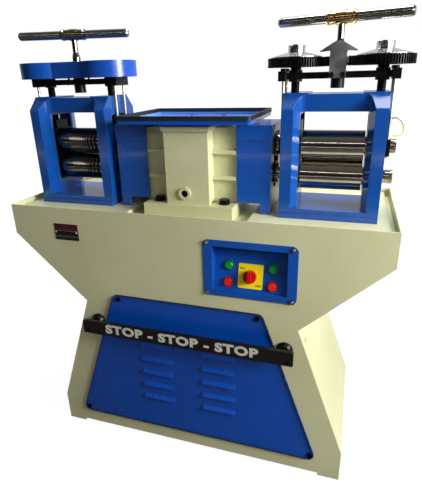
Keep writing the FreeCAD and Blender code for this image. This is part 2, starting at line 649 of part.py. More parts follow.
floor_holes = [rod("button_hole", "Y", f"{sx} * button_x", -2, f"button_low + {row} * button_rise",
                   "button_dia + 4", 10) for label, sx, row in BUTTONS]
floor_holes.append(rod("spindle_hole", "Y", 0, -2, "switch_up", 12, 10))
flange_holes = [rod("flange_hole", "Y", x, f"{FRONT} - 3", z, "screw_shank", 6) for x, z in PANEL_SCREWS]
pan = cut("pan", join("pan_solid", [pan_outer, flange]),
          [pan_inner, sloped(join("floor_holes", floor_holes))] + flange_holes)
node(pan, "control_panel")

bodies = []
for label, sx, row in BUTTONS:
    x, z = f"{sx} * button_x", f"button_low + {row} * button_rise"
    cap = join(label + "_cap", [rod("cap", "Y", x, -8, z, "button_dia", 20),
                                cone("cap_edge", "Y", x, -9, z, "button_dia - 2", "button_dia", 1)])
    node(sloped(cap), label)
    collar = join("collar", [rod("collar_ring", "Y", x, -4, z, "collar_dia", 4),
                             rod("collar_neck", "Y", x, 0, z, "button_dia + 4", 16)])
    bored = cut("collar_bored", collar, [rod("collar_bore", "Y", x, -5, z, "button_dia + 2 * move_gap", 22)])
    block = box("contact_block", f"{x} - 14", f"{x} + 14", 16, 44, f"{z} - 14", f"{z} + 14")
    bodies.append(join("button_body", [bored, block]))
node(sloped(group("button_bodies_group", bodies)), "button_bodies")

half = "switch_side / 2"
switch_face = plate("switch_face", "XZ", -2, 2, rectangle(f"-{half}", half, f"switch_up - {half}",
                                                          f"switch_up + {half}"), [("3", (0, 1, 2, 3))])
switch_back = box("switch_back", -22, 22, "1.3 * panel_sheet", 56, "switch_up - 22", "switch_up + 22")
switch_neck = rod("switch_neck", "Y", 0, -1, "switch_up", 12, 6)
switch_bore = rod("switch_bore", "Y", 0, -4, "switch_up", "6 + 2 * run_fit", 20)
node(sloped(cut("switch_cut", join("switch_join", [switch_face, switch_back, switch_neck]), [switch_bore])),
     "rotary_switch")
knob = join("knob", [rod("knob_disc", "Y", 0, "-14 - move_gap", "switch_up", "knob_dia", 12),
                     box("knob_grip", -4.5, 4.5, -26, -13, "switch_up - knob_dia / 2 + 1",
                         "switch_up + knob_dia / 2 - 1"),
                     rod("knob_spindle", "Y", 0, "-3 - move_gap", "switch_up", 6, 14)])
node(sloped(knob), "switch_knob")

# Name plate, left blank, on two rivets
plate_sheet_piece = box("name_sheet", "plate_x - plate_width / 2", "plate_x + plate_width / 2",
                        f"{FRONT} - plate_sheet", FRONT, "plate_z - plate_tall / 2", "plate_z + plate_tall / 2")
rivets = [rod("rivet", "Y", f"plate_x + {s} * (plate_width / 2 - 5)", f"{FRONT} - plate_sheet - 1.2", "plate_z", 5, 1.2)
          for s in (1, -1)]
node(join("name_join", [plate_sheet_piece] + rivets), "name_plate")

# ---------------------------------------------------------------------------------------------------
# Gears
# ---------------------------------------------------------------------------------------------------


def gear(name, module, teeth, width, bore, axis, x, y, z, first_tooth):
    """A spur gear with 20 degree teeth; first_tooth is the angle of one tooth about the axis.

    The angle runs from X towards Y for an upright axis, and from Y towards Z for an axis along X.
    """
    m, count = num(module), round(num(teeth))
    pitch, tip, root = m * count / 2, m * (count / 2 + 1), m * (count / 2 - 1.25)
    base = pitch * math.cos(math.radians(20))
    slack = 0.06 * m

    def flank(radius):
        """Half the angle of a tooth at a radius."""
        pressure = math.acos(min(1, base / radius))
        involute = math.tan(pressure) - pressure
        at_pitch = math.tan(math.radians(20)) - math.radians(20)
        return (math.pi / 2 * m - slack) / (2 * pitch) + at_pitch - involute

    low = max(base, root)
    radii = [root, low, (low + pitch) / 2, pitch, (pitch + tip) / 2, tip]
    points = []
    for k in range(count):
        middle = 2 * math.pi * k / count
        rising = [(r, middle - flank(max(r, low))) for r in radii]
        falling = [(r, 2 * middle - a) for r, a in reversed(rising)]
        points += [FreeCAD.Vector(r * math.cos(a), r * math.sin(a), 0) for r, a in rising + falling]
    kept = [p for p, q in zip(points, points[1:] + points[:1]) if p.distanceToPoint(q) > 0.01]
    outline = Part.Face(Part.makePolygon(kept + kept[:1]))
    blank = outline.extrude(FreeCAD.Vector(0, 0, num(width)))
    hole = Part.makeCylinder(num(bore) / 2, num(width) + 2, FreeCAD.Vector(0, 0, -1))
    obj = new("Part::Feature", name)
    obj.Shape = blank.cut(hole)
    upright = FreeCAD.Rotation(FreeCAD.Vector(0, 0, 1), first_tooth)
    lying = FreeCAD.Rotation(FreeCAD.Vector(1, 1, 1), 120).multiply(upright)
    obj.Placement = FreeCAD.Placement(FreeCAD.Vector(), lying if axis == "X" else upright)
    return place(obj, x, y, z)


# ---------------------------------------------------------------------------------------------------
# Roll stands: s is 1 for the flat rolls on the right and -1 for the wire rolls on the left
# ---------------------------------------------------------------------------------------------------

CHOCK_HALF = "(roll_pitch / 2 - move_gap)"
HOUSING = "((stand_width - window_width) / 2)"
ROD_X = "(stand_width / 2 + 0.5 + ear_thick / 2)"
STAND_FRONT = f"({ROLL_Y} - stand_depth / 2)"
STAND_REAR = f"({ROLL_Y} + stand_depth / 2)"
WINDOW_Z = "(bed_top + window_foot)"
BEAM_Z = "(stand_top - beam_tall)"
GEAR_TOP = "(gear_z + gear_wide)"
BRIDGE_TOP = "(bridge_z + bridge_thick)"


def along(s, low, high):
    """Lowest X of a span measured outboard from a stand's centre, and its length."""
    centre = f"{s} * mill_x"
    return (f"{centre} + ({low})" if s > 0 else f"{centre} - ({high})"), f"({high}) - ({low})"


def stand(side, s):
    """One-piece stand: two housings with slots for the chocks, a foot and a beam set back between them."""
    centre = f"({s} * mill_x)"
    left = f"{centre} - stand_width / 2"
    profile = [(STAND_FRONT, "bed_top"), (STAND_REAR, "bed_top"), (STAND_REAR, "stand_top - chamfer_z"),
               (f"{STAND_REAR} - chamfer_y", "stand_top"), (f"{STAND_FRONT} + chamfer_y", "stand_top"),
               (STAND_FRONT, "stand_top - chamfer_z")]
    block = plate(side + "_block", "YZ", left, "stand_width", profile, [("6", (2, 3, 4, 5))])
    foot = box("stand_foot", left, f"{left} + stand_width", f"{STAND_FRONT} - flange_out",
               f"{STAND_REAR} + flange_out", "bed_top", "bed_top + flange_tall")
    pads = []
    for a in (1, -1):
        x0, x1 = sorted((f"{centre} + {a} * stand_width / 2", f"{centre} + {a} * (stand_width / 2 - pad_wide)"), key=num)
        pads.append(box("pad", x0, x1, f"{STAND_FRONT} + chamfer_y", f"{STAND_REAR} - chamfer_y", "stand_top - 2",
                        "stand_top + pad_tall"))
    near, deep = f"{STAND_FRONT} - flange_out - 1", f"{STAND_FRONT} + chamfer_y"
    far, back = f"{STAND_REAR} + flange_out + 1", f"{STAND_REAR} - chamfer_y"

    def both(half, y):
        return [(f"{centre} - ({half})", y), (f"{centre} + ({half})", y)]

    narrow, wide = "window_width / 2", "window_width / 2 + window_flare"
    window = plate(side + "_window", "XY", WINDOW_Z, f"{BEAM_Z} - {WINDOW_Z}",
                   [both(wide, near)[0], both(wide, near)[1], both(narrow, deep)[1], both(narrow, back)[1],
                    both(wide, far)[1], both(wide, far)[0], both(narrow, back)[0], both(narrow, deep)[0]])
    slot = plate(side + "_slot", "YZ", f"{left} - 1", "stand_width + 2",
                 rectangle(f"{ROLL_Y} - chock_slot / 2", f"{ROLL_Y} + chock_slot / 2",
                           f"low_axis_z - {CHOCK_HALF}", "slot_top"), [("10", (2, 3))])
    recess = [plate("beam_recess", "XY", f"{BEAM_Z} - 1", "beam_tall + 5",
                    [both(wide, open_y)[0], both(wide, open_y)[1], both(narrow, shut_y)[1], both(narrow, shut_y)[0]],
                    [("20", (2, 3))]) for open_y, shut_y in ((near, deep), (far, back))]
    bores = [rod("screw_bore", "Z", f"{centre} + {a} * {SCREW_X}", ROLL_Y, "slot_top - 20",
                 "screw_dia + 2 * run_fit", "stand_top + pad_tall - slot_top + 21") for a in (1, -1)]
    drilled = bolt_holes("stand_hole", stand_bolts(s), "bed_top", "window_foot - 7")
    node(cut(side + "_stand_cut", join(side + "_stand_solid", [block, foot] + pads),
             [window, slot] + recess + bores + drilled), f"{side}_stand")


def grooved_barrel(z):
    """Barrel of a wire roll: a plain length, then V grooves that widen towards the gearbox."""
    start = "(-mill_x - roll_len / 2)"
    pieces = [rod("barrel", "X", start, ROLL_Y, z, "roll_dia", "flat_len")]
    for k in range(11):
        width = f"(groove_first + {k} * groove_step)"
        low = f"({start} + flat_len + {k} * (groove_land + groove_first) + {k * (k - 1) // 2} * groove_step)"
        pieces.append(cone("groove_in", "X", low, ROLL_Y, z, "roll_dia", f"roll_dia - {width}", f"{width} / 2"))
        pieces.append(cone("groove_out", "X", f"{low} + {width} / 2", ROLL_Y, z, f"roll_dia - {width}",
                           "roll_dia", f"{width} / 2"))
        length = "groove_land" if k < 10 else f"{start} + roll_len - {low} - {width}"
        pieces.append(rod("groove_land", "X", f"{low} + {width}", ROLL_Y, z, "roll_dia", length))
    return pieces


def roll(side, s, which, z):
    """A hardened roll: barrel, two necks, a polished stub outboard and a drive tongue inboard."""
    pieces = grooved_barrel(z) if s < 0 else [
        rod("barrel", "X", "mill_x - roll_len / 2", ROLL_Y, z, "roll_dia", "roll_len")]
    for part, low, high, size in (
            ("neck", "-stand_width / 2 - 1", "stand_width / 2 + 1", "neck_dia"),
            ("stub", "0", "stand_width / 2 + stub_out", "stub_dia"),
            ("tongue", "-tongue_end", "0", "tongue_dia"),
            ("disc", "-(stand_width / 2 + ear_thick + 7.5)", "-(stand_width / 2 + ear_thick + 1.5)", "neck_dia + 9")):
        start, length = along(s, low, high)
        pieces.append(rod(part, "X", start, ROLL_Y, z, size, length))
    node(join(f"{side}_{which}_roll_join", pieces), f"{side}_{which}_roll")


def chocks(side, s, which, z):
    """Two bearing blocks; the upper ones carry ears for the lifting rods, and thrust caps under the screws."""
    blocks = []
    for outward in (1, -1):
        inner, outer = f"{outward} * (window_width / 2 + 1)", f"{outward} * stand_width / 2"
        if outward < 0:
            inner, outer = outer, inner
        start, length = along(s, inner, outer)
        block = box("chock", start, f"({start}) + {length}", f"{ROLL_Y} - chock_slot / 2 + move_gap",
                    f"{ROLL_Y} + chock_slot / 2 - move_gap", f"{z} - {CHOCK_HALF}", f"{z} + {CHOCK_HALF}")
        pieces, holes = [block], []
        bore_start, bore_length = along(s, "-stand_width", "stand_width")
        holes.append(rod("chock_bore", "X", bore_start, ROLL_Y, z, "neck_dia + 2 * run_fit", bore_length))
        if which == "upper":
            pieces.append(box("thrust_cap", start, f"({start}) + {length}", f"{ROLL_Y} - cap_wide / 2",
                              f"{ROLL_Y} + cap_wide / 2", f"{z} + {CHOCK_HALF} - 1", f"{z} + {CHOCK_HALF} + cap_high"))
            low, high = "stand_width / 2 + 0.5", "stand_width / 2 + 0.5 + ear_thick"
            if outward < 0:
                low, high = f"-({high})", f"-({low})"
            start, length = along(s, low, high)
            pieces.append(box("ear", start, f"({start}) + {length}", f"{ROLL_Y} - rod_gap - 11",
                              f"{ROLL_Y} + rod_gap + 11", f"{z} - ear_tall / 2", f"{z} + ear_tall / 2"))
            web, web_length = along(s, f"{outward} * stand_width / 2 + {min(0, outward)}",
                                    f"{outward} * stand_width / 2 + {max(0, outward)}")
            pieces.append(box("ear_web", web, f"({web}) + {web_length}", f"{ROLL_Y} - rod_gap - 4",
                              f"{ROLL_Y} + rod_gap + 4", f"{z} - ear_tall / 2 + 4", f"{z} + ear_tall / 2 - 4"))
            holes += [rod("ear_hole", "Z", f"{s} * mill_x + {outward * s} * {ROD_X}", f"{ROLL_Y} + {b} * rod_gap",
                          f"{z} - ear_tall", "rod_dia", "2 * ear_tall") for b in (1, -1)]
        blocks.append(cut("chock_cut", join("chock_join", pieces) if len(pieces) > 1 else block, holes))
    node(group(f"{side}_{which}_chock_group", blocks), f"{side}_{which}_chocks")


def bridge(side, s):
    """Carrier above the stand that lifts the upper chocks on four rods."""
    centre = f"({s} * mill_x)"
    bar_piece = box("bridge_bar", f"{centre} - {ROD_X}", f"{centre} + {ROD_X}", f"{ROLL_Y} - bridge_wide / 2",
                    f"{ROLL_Y} + bridge_wide / 2", "bridge_z", BRIDGE_TOP)
    pieces = [bar_piece]
    pieces.append(rod("bridge_boss", "Z", centre, ROLL_Y, "bridge_z - 22", "stem_dia + 10", "bridge_thick + 25"))
    holes = [rod("stem_bore", "Z", centre, ROLL_Y, "bridge_z - 30", "stem_dia + 2 * run_fit", "bridge_thick + 50")]
    rods = []
    for a in (1, -1):
        pieces.append(rod("screw_boss", "Z", f"{centre} + {a} * {SCREW_X}", ROLL_Y, "bridge_z - 6",
                          "screw_dia + 12", "bridge_thick + 12"))
        holes.append(rod("screw_pass", "Z", f"{centre} + {a} * {SCREW_X}", ROLL_Y, "bridge_z - 20",
                         "screw_dia + 2 * run_fit", "bridge_thick + 40"))
        end = f"{centre} + {a} * {ROD_X}"
        x0, x1 = sorted((f"{end} - {a} * (rod_dia / 2 + 3)", f"{end} + {a} * ear_thick"), key=num)
        pieces.append(box("bridge_end", x0, x1, f"{ROLL_Y} - rod_gap - 9", f"{ROLL_Y} + rod_gap + 9",
                          "bridge_z - end_drop", f"{BRIDGE_TOP} + end_rise"))
        for b in (1, -1):
            y = f"{ROLL_Y} + {b} * rod_gap"
            holes.append(rod("rod_hole", "Z", end, y, "bridge_z - 20", "rod_dia", "bridge_thick + end_rise + 40"))
            rods.append(rod("lifting_rod", "Z", end, y, f"{UP_AXIS_Z} - ear_tall / 2 - 4", "rod_dia",
                            f"{BRIDGE_TOP} + end_rise + 6 - {UP_AXIS_Z} + ear_tall / 2 + 4"))
            rods.append(cut("rod_nut", rod("nut_body", "Z", end, y, f"{BRIDGE_TOP} + end_rise", 15, 6),
                            [rod("nut_bore", "Z", end, y, f"{BRIDGE_TOP} + end_rise - 1", "rod_dia", 8)]))
    if side == "left":
        pieces.append(box("cover_carrier", f"{centre} - 6", f"{centre} + 6", f"{ROLL_Y} - cover_waist / 2 + 3",
                          f"{ROLL_Y} + cover_waist / 2 - 3", "bridge_z", BRIDGE_TOP))
    bored = cut(side + "_bridge_cut", join(side + "_bridge_join", pieces), holes)
    node(group(side + "_bridge_group", [bored] + rods), f"{side}_bridge")


def castle_nut(x):
    """Round nut with six slots across its top."""
    slots = [turn(place(group("nut_slot", [box("slot_arm", "-nut_dia", "nut_dia", -3, 3, 0, 8)]),
                        x, ROLL_Y, f"{GEAR_TOP} + nut_tall - 7"), (0, 0, 1), 60 * k) for k in range(3)]
    bore = rod("nut_bore", "Z", x, ROLL_Y, f"{GEAR_TOP} - 1", "screw_dia", "nut_tall + 2")
    return cut("nut_cut", rod("nut", "Z", x, ROLL_Y, GEAR_TOP, "nut_dia", "nut_tall"), slots + [bore])


def screws(side, s, open_gears):
    """Two roll gap screws with their gears; open gears carry dials and castle nuts."""
    for which, a in (("outer", s), ("inner", -s)):
        x = f"({s} * mill_x + {a} * {SCREW_X})"
        foot = f"({UP_AXIS_Z} + {CHOCK_HALF} + cap_high + move_gap)"
        head = f"{GEAR_TOP} + nut_tall + 2" if open_gears else f"{GEAR_TOP} + 3"
        pieces = [rod("screw", "Z", x, ROLL_Y, foot, "screw_dia", f"{head} - {foot}"),
                  rod("screw_collar", "Z", x, ROLL_Y, f"{BRIDGE_TOP} + 6 + move_gap", "screw_dia + 6",
                      f"gear_z - {BRIDGE_TOP} - 6 - move_gap")]
        screw = join(f"{side}_{which}_screw_join", pieces)
        spin_gear = gear(f"{side}_{which}_gear_wheel", "gear_module", "gear_teeth", "gear_wide", "screw_dia", "Z",
                         x, ROLL_Y, "gear_z", 180 / num("gear_teeth"))
        if open_gears:
            rise = cone("dial_cone", "Z", x, ROLL_Y, f"{GEAR_TOP} + dial_rim", "dial_dia", "nut_dia + 8", "dial_rise")
            dial = cut("dial", join("dial_solid", [rod("dial_plate", "Z", x, ROLL_Y, GEAR_TOP, "dial_dia", "dial_rim"),
                                                   rise]),
                       [rod("dial_bore", "Z", x, ROLL_Y, f"{GEAR_TOP} - 1", "nut_dia", "dial_rim + dial_rise + 2")])
            node(group(f"{side}_{which}_gear_group", [spin_gear, dial]), f"{side}_{which}_gear")
            node(group(f"{side}_{which}_screw_group", [screw, castle_nut(x)]), f"{side}_{which}_screw")
        else:
            node(spin_gear, f"{side}_{which}_gear")
            node(screw, f"{side}_{which}_screw")


def handle(side, s, angle):
    """T-handle: a bar through a beaded hub on a turned stem, with the pinion keyed to the stem."""
    centre = f"({s} * mill_x)"
    foot = "bridge_z - 21"
    swell = "cover_z + cover_tall + 12"
    stem = [rod("stem", "Z", 0, 0, foot, "stem_dia", f"{swell} - ({foot})"),
            cone("stem_taper", "Z", 0, 0, swell, "stem_dia", "stem_neck", 14),
            rod("stem_neck", "Z", 0, 0, f"{swell} + 14", "stem_neck", f"bar_axis_z - ({swell} + 14)"),
            rod("hub", "X", "-hub_len / 2", 0, "bar_axis_z", "hub_dia", "hub_len"),
            rod("hub_middle", "X", "-hub_len / 6", 0, "bar_axis_z", "bead_dia", "hub_len / 3")]
    for a in (1, -1):
        stem.append(cone("bead_in", "X", f"{a} * (hub_len / 2 - 4.5) - 3", 0, "bar_axis_z", "hub_dia", "bead_dia", 3))
        stem.append(cone("bead_out", "X", f"{a} * (hub_len / 2 - 4.5)", 0, "bar_axis_z", "bead_dia", "hub_dia", 3))
    bar_hole = rod("bar_hole", "X", "-handle_len / 2", 0, "bar_axis_z", "handle_dia", "handle_len")
    bored = cut("stem_cut", join("stem_join", stem), [bar_hole])
    grips = [rod("handle_bar", "X", "4 - handle_len / 2", 0, "bar_axis_z", "handle_dia", "handle_len - 8"),
             cone("bar_end", "X", "-handle_len / 2", 0, "bar_axis_z", "handle_dia - 5", "handle_dia", 4),
             cone("bar_end", "X", "handle_len / 2 - 4", 0, "bar_axis_z", "handle_dia", "handle_dia - 5", 4)]
    turned = place(turn(group(side + "_handle_group", [bored, join("bar_join", grips)]), (0, 0, 1), angle),
                   centre, ROLL_Y, 0)
    pinion = gear(side + "_pinion_wheel", "gear_module", "pinion_teeth", "gear_wide", "stem_dia", "Z",
                  centre, ROLL_Y, "gear_z", 0)
    node(group(side + "_handle_all", [turned, pinion]), f"{side}_handle")


def pinion_bracket(s):
    """Gabled plate on the front of the right bridge that steadies the handle stem above its pinion."""
    centre = f"({s} * mill_x)"
    back = f"({ROLL_Y} - gear_module * (pinion_teeth / 2 + 1) - 4)"
    neck_z = "(bracket_top - 22)"
    half_body, half_head = "bracket_wide / 2", "bracket_head / 2"
    face = plate("bracket_face", "XZ", f"{back} - 8", 8, [
        (f"{centre} - {half_body}", "bridge_z + 1"), (f"{centre} + {half_body}", "bridge_z + 1"),
        (f"{centre} + {half_body}", f"{neck_z} + 1"), (f"{centre} + {half_head}", f"{neck_z} - 1"),
        (f"{centre} + {half_head}", f"{neck_z} + 1"), (f"{centre} + 7", "bracket_top - 1"),
        (f"{centre} - 7", "bracket_top - 1"), (f"{centre} - {half_head}", f"{neck_z} + 1"),
        (f"{centre} - {half_head}", f"{neck_z} - 1"), (f"{centre} - {half_body}", f"{neck_z} + 1")],
                 [("5", (5, 6))])
    foot = join("bracket_foot", [
        box("foot_block", f"{centre} - {half_body}", f"{centre} + {half_body}", f"{back} - 4",
            f"{ROLL_Y} - bridge_wide / 2", "bridge_z + 1", f"{BRIDGE_TOP} + 6"),
        box("foot_sheet", f"{centre} - {half_body}", f"{centre} + {half_body}", f"{back} - 4",
            f"{ROLL_Y} - 12", BRIDGE_TOP, f"{BRIDGE_TOP} + 6")])
    roof = box("bracket_roof", f"{centre} - {half_body}", f"{centre} + {half_body}", f"{back} - 4",
               f"{ROLL_Y} + 24", neck_z, f"{neck_z} + 7")
    holes = [rod("foot_clearance", "Z", centre, ROLL_Y, f"{BRIDGE_TOP} - 1", "stem_dia + 14", 12),
             rod("roof_bore", "Z", centre, ROLL_Y, f"{neck_z} - 1", "stem_dia + 2 * run_fit", 10)]
    node(cut("bracket_cut", join("bracket_join", [face, foot, roof]), holes), "right_pinion_bracket")


def gear_cover(s):
    """Pressed cover over the left gears, two lobes and a waist, open below."""
    centre = f"({s} * mill_x)"

    def lobes(name, inset, z0, z1):
        ends = [rod(name + "_lobe", "Z", f"{centre} + {a} * {SCREW_X}", ROLL_Y, z0, f"cover_dia - 2 * {inset}",
                    f"{z1} - ({z0})") for a in (1, -1)]
        waist = box(name + "_waist", f"{centre} - {SCREW_X}", f"{centre} + {SCREW_X}",
                    f"{ROLL_Y} - cover_waist / 2 + {inset}", f"{ROLL_Y} + cover_waist / 2 - {inset}", z0, z1)
        return join(name, ends + [waist])

    shell = lobes("cover_outer", "0", "cover_z", "(cover_z + cover_tall)")
    hollow = lobes("cover_inner", "cover_sheet", "cover_z - 1", "(cover_z + cover_tall - cover_sheet)")
    bore = rod("cover_bore", "Z", centre, ROLL_Y, "cover_z", "stem_dia + 2 * move_gap", "cover_tall + 1")
    posts = [rod("cover_post", "Z", centre, f"{ROLL_Y} + {b} * (cover_waist / 2 - 6.5)", BRIDGE_TOP, 6,
                 f"cover_z + cover_tall - 1 - {BRIDGE_TOP}") for b in (1, -1)]
    node(join("cover_join", [cut("cover_cut", shell, [hollow, bore])] + posts), "left_gear_cover")


for side, s in (("right", 1), ("left", -1)):
    stand(side, s)
    roll(side, s, "lower", "low_axis_z")
    roll(side, s, "upper", UP_AXIS_Z)
    chocks(side, s, "lower", "low_axis_z")
    chocks(side, s, "upper", UP_AXIS_Z)
    bridge(side, s)
    screws(side, s, open_gears=s > 0)
handle("right", 1, "-right_turn")
handle("left", -1, "left_turn")
pinion_bracket(1)
gear_cover(-1)

# ---------------------------------------------------------------------------------------------------
# Gearbox: column with ribbed wings, plinth and sump, open at the top under a lid
# ---------------------------------------------------------------------------------------------------

CASE_FRONT = f"({FRONT} + case_front)"
CASE_REAR = f"(2 * {ROLL_Y} - {CASE_FRONT})"
WING_FRONT = f"({FRONT} + wing_front)"
WING_REAR = f"(2 * {ROLL_Y} - {WING_FRONT})"
PLINTH_FRONT = f"({FRONT} + plinth_front)"
PLINTH_TOP = f"({FLOOR_TOP} + plinth_tall)"
WING_TOP = "(case_top - 6)"
BORE_X = "(case_width / 2 - case_wall)"
DRIVE_RACE = "(shaft_dia + 27)"
LAY_RACE = "(lay_dia + 27)"

case_pieces = [
    box("column", "-case_width / 2", "case_width / 2", CASE_FRONT, CASE_REAR, FLOOR_TOP, "case_top"),
    box("plinth", "-plinth_reach", "plinth_reach", PLINTH_FRONT, f"2 * {ROLL_Y} - {PLINTH_FRONT}", FLOOR_TOP,
        PLINTH_TOP),
    box("sump", "-case_width / 2", "case_width / 2", SUMP_FRONT, SUMP_REAR, "sump_z", f"{FLOOR_TOP} + 1"),
    box("column_rim", "-case_width / 2 - cap_out", "case_width / 2 + cap_out", f"{CASE_FRONT} - cap_out",
        f"{CASE_REAR} + cap_out", "case_top - cap_tall", "case_top"),
]
wing_hollows, wing_bosses, wing_bores = [], [], []
for s in (1, -1):
    low, high = mirrored(s, "wing_reach", "case_width / 2")
    case_pieces.append(box("wing", low, high, WING_FRONT, WING_REAR, f"{PLINTH_TOP} - 1", WING_TOP))
    for y0, y1 in ((f"{WING_FRONT} - 12", WING_FRONT), (WING_REAR, f"{WING_REAR} + 12")):
        low, high = mirrored(s, "wing_reach - 6", "case_width / 2")
        for k in range(2):
            z = f"({PLINTH_TOP} + {k + 1} * (case_top - {PLINTH_TOP}) / 3)"
            case_pieces.append(box("rib", low, high, y0, y1, f"{z} - 5", f"{z} + 5"))
    low, high = mirrored(s, "wing_reach - wing_wall", "case_width / 2")
    wing_hollows.append(box("wing_hollow", low, high, f"{WING_FRONT} + wing_wall", f"{WING_REAR} - wing_wall",
                            f"{PLINTH_TOP} + wing_wall", f"{WING_TOP} - wing_wall"))
    low, high = mirrored(s, "wing_reach - bearing_wide - 4", "wing_reach")
    for z in ("low_axis_z", UP_AXIS_Z):
        wing_bosses.append(rod("wing_boss", "X", low, ROLL_Y, z, f"{DRIVE_RACE} + 10", f"{high} - {low}"))
        wing_bores.append(rod("wing_bore", "X", f"{low} - 1", ROLL_Y, z, DRIVE_RACE, f"{high} - {low} + 2"))
column_hollow = box("column_hollow", f"-{BORE_X}", BORE_X, f"{CASE_FRONT} + case_wall", f"{CASE_REAR} - case_wall",
                    FLOOR_TOP, "case_top + 1")
sump_hollow = box("sump_hollow", f"-{BORE_X}", BORE_X, f"{SUMP_FRONT} + case_wall", f"{SUMP_REAR} - case_wall",
                  "sump_z + case_wall", f"{FLOOR_TOP} + 1")
shaft_passes = [rod("shaft_pass", "X", "-case_width / 2 - 1", ROLL_Y, z, "shaft_dia + 6", "case_width + 2")
                for z in ("low_axis_z", UP_AXIS_Z)]
lay_seats = [rod("lay_seat", "X", f"-{BORE_X} - bearing_wide", ROLL_Y, z, LAY_RACE, f"2 * ({BORE_X} + bearing_wide)")
             for z in (LAY_Z, INPUT_Z)]
input_pass = rod("input_pass", "X", 0, ROLL_Y, INPUT_Z, "lay_dia + 4", "case_width / 2 + 1")
port_hole = rod("port_hole", "Y", "port_x", f"{CASE_FRONT} - 1", "port_z", "port_bore + 4", "case_wall + 2")
case_solid = cut("case_hollow", join("case_solid", case_pieces), [column_hollow, sump_hollow] + wing_hollows)
node(cut("case_bored", join("case_bossed", [case_solid] + wing_bosses),
         wing_bores + shaft_passes + lay_seats + [input_pass, port_hole]
         + bolt_holes("plinth_hole", CASE_BOLTS, FLOOR_TOP, "plinth_tall", "case_bolt")), "gearbox_case")

races = [("low_axis_z", DRIVE_RACE, "shaft_dia", "wing_reach - bearing_wide"),
         (UP_AXIS_Z, DRIVE_RACE, "shaft_dia", "wing_reach - bearing_wide"),
         (LAY_Z, LAY_RACE, "lay_dia", BORE_X), (INPUT_Z, LAY_RACE, "lay_dia", BORE_X)]
bearings = []
for z, outer, inner, x in races:
    for start in (x, f"-({x}) - bearing_wide"):
        bearings.append(cut("bearing", rod("race", "X", start, ROLL_Y, z, outer, "bearing_wide"),
                            [rod("race_bore", "X", f"{start} - 1", ROLL_Y, z, f"{inner} + 2 * run_fit",
                                 "bearing_wide + 2")]))
node(group("bearing_group", bearings), "gearbox_bearings")

port_ring = cut("port_ring", join("port_join", [
    rod("port_flange", "Y", "port_x", f"{CASE_FRONT} - 6", "port_z", "port_dia", 6),
    rod("port_neck", "Y", "port_x", CASE_FRONT, "port_z", "port_bore + 4", "case_wall")]),
    [rod("port_well", "Y", "port_x", f"{CASE_FRONT} - 7", "port_z", "port_bore", "case_wall + 1")])
node(port_ring, "oil_level_port")

# Lid, and a tray for tools screwed down on it: a floor sheet with a band welded on round its edge
lid = plate("lid", "XY", "case_top", "lid_thick",
            rectangle("-case_width / 2 - 6", "case_width / 2 + 6", f"{CASE_FRONT} - 6", f"{CASE_REAR} + 6"),
            [("6", (0, 1, 2, 3))])
TRAY_SCREWS = [(f"{a} * (case_width / 2 - 14)", f"{ROLL_Y} + {b} * (roll_back - case_front - 18)")
               for a in (1, -1) for b in (1, -1)]
LID_TOP = "(case_top + lid_thick)"
TRAY_FRONT = f"({FRONT} + tray_front)"
tap_holes = [rod("tray_tap", "Z", x, y, "case_top - 1", "screw_shank", "lid_thick + 2") for x, y in TRAY_SCREWS]
node(cut("lid_cut", lid, tap_holes), "gearbox_lid")
tray_holes = [rod("tray_hole", "Z", x, y, f"{LID_TOP} - 1", "screw_shank", "tray_sheet + 2")
              for x, y in TRAY_SCREWS]
tray_floor = cut("tray_floor", plate("tray_base", "XY", LID_TOP, "tray_sheet",
                                     rectangle("-tray_width / 2", "tray_width / 2", TRAY_FRONT,
                                               f"{TRAY_FRONT} + tray_deep"), [("8", (0, 1, 2, 3))]), tray_holes)
tray_outer = plate("tray_outer", "XY", f"{LID_TOP} + tray_sheet", "tray_tall - tray_sheet",
                   rectangle("-tray_width / 2", "tray_width / 2", TRAY_FRONT, f"{TRAY_FRONT} + tray_deep"),
                   [("8", (0, 1, 2, 3))])
tray_inner = plate("tray_inner", "XY", LID_TOP, "tray_tall + 1",
                   rectangle("tray_sheet - tray_width / 2", "tray_width / 2 - tray_sheet",
                             f"{TRAY_FRONT} + tray_sheet", f"{TRAY_FRONT} + tray_deep - tray_sheet"),
                   [("5", (0, 1, 2, 3))])
node(group("tray_group", [tray_floor, cut("tray_band", tray_outer, [tray_inner])]), "tool_tray")


def cover_screw(x, y, z, axis, towards, grip):
    """Pan head screw whose head lies on a face, with its shank through the grip."""
    start = {"Y": (x, f"{y} - screw_head_z" if towards < 0 else y, z), "Z": (x, y, z)}[axis]
    shank = {"Y": (x, y if towards < 0 else f"{y} - ({grip})", z), "Z": (x, y, f"{z} - ({grip})")}[axis]
    return join("cover_screw", [rod("screw_head", axis, *start, "screw_head", "screw_head_z"),
                                rod("screw_shank", axis, *shank, "screw_shank", grip)])


all_screws = [cover_screw(x, f"{FRONT} - door_sheet", z, "Y", -1, "door_sheet + wall") for x, z in DOOR_SCREWS]
all_screws += [cover_screw(x, f"{REAR} + door_sheet", z, "Y", 1, "door_sheet + wall") for x, z in REAR_SCREWS]
all_screws += [cover_screw(x, f"{FRONT} - panel_sheet", z, "Y", -1, "panel_sheet + wall") for x, z in PANEL_SCREWS]
all_screws += [cover_screw(x, y, f"{LID_TOP} + tray_sheet", "Z", 1, "tray_sheet + lid_thick") for x, y in TRAY_SCREWS]
node(group("screw_group", all_screws), "cover_screws")

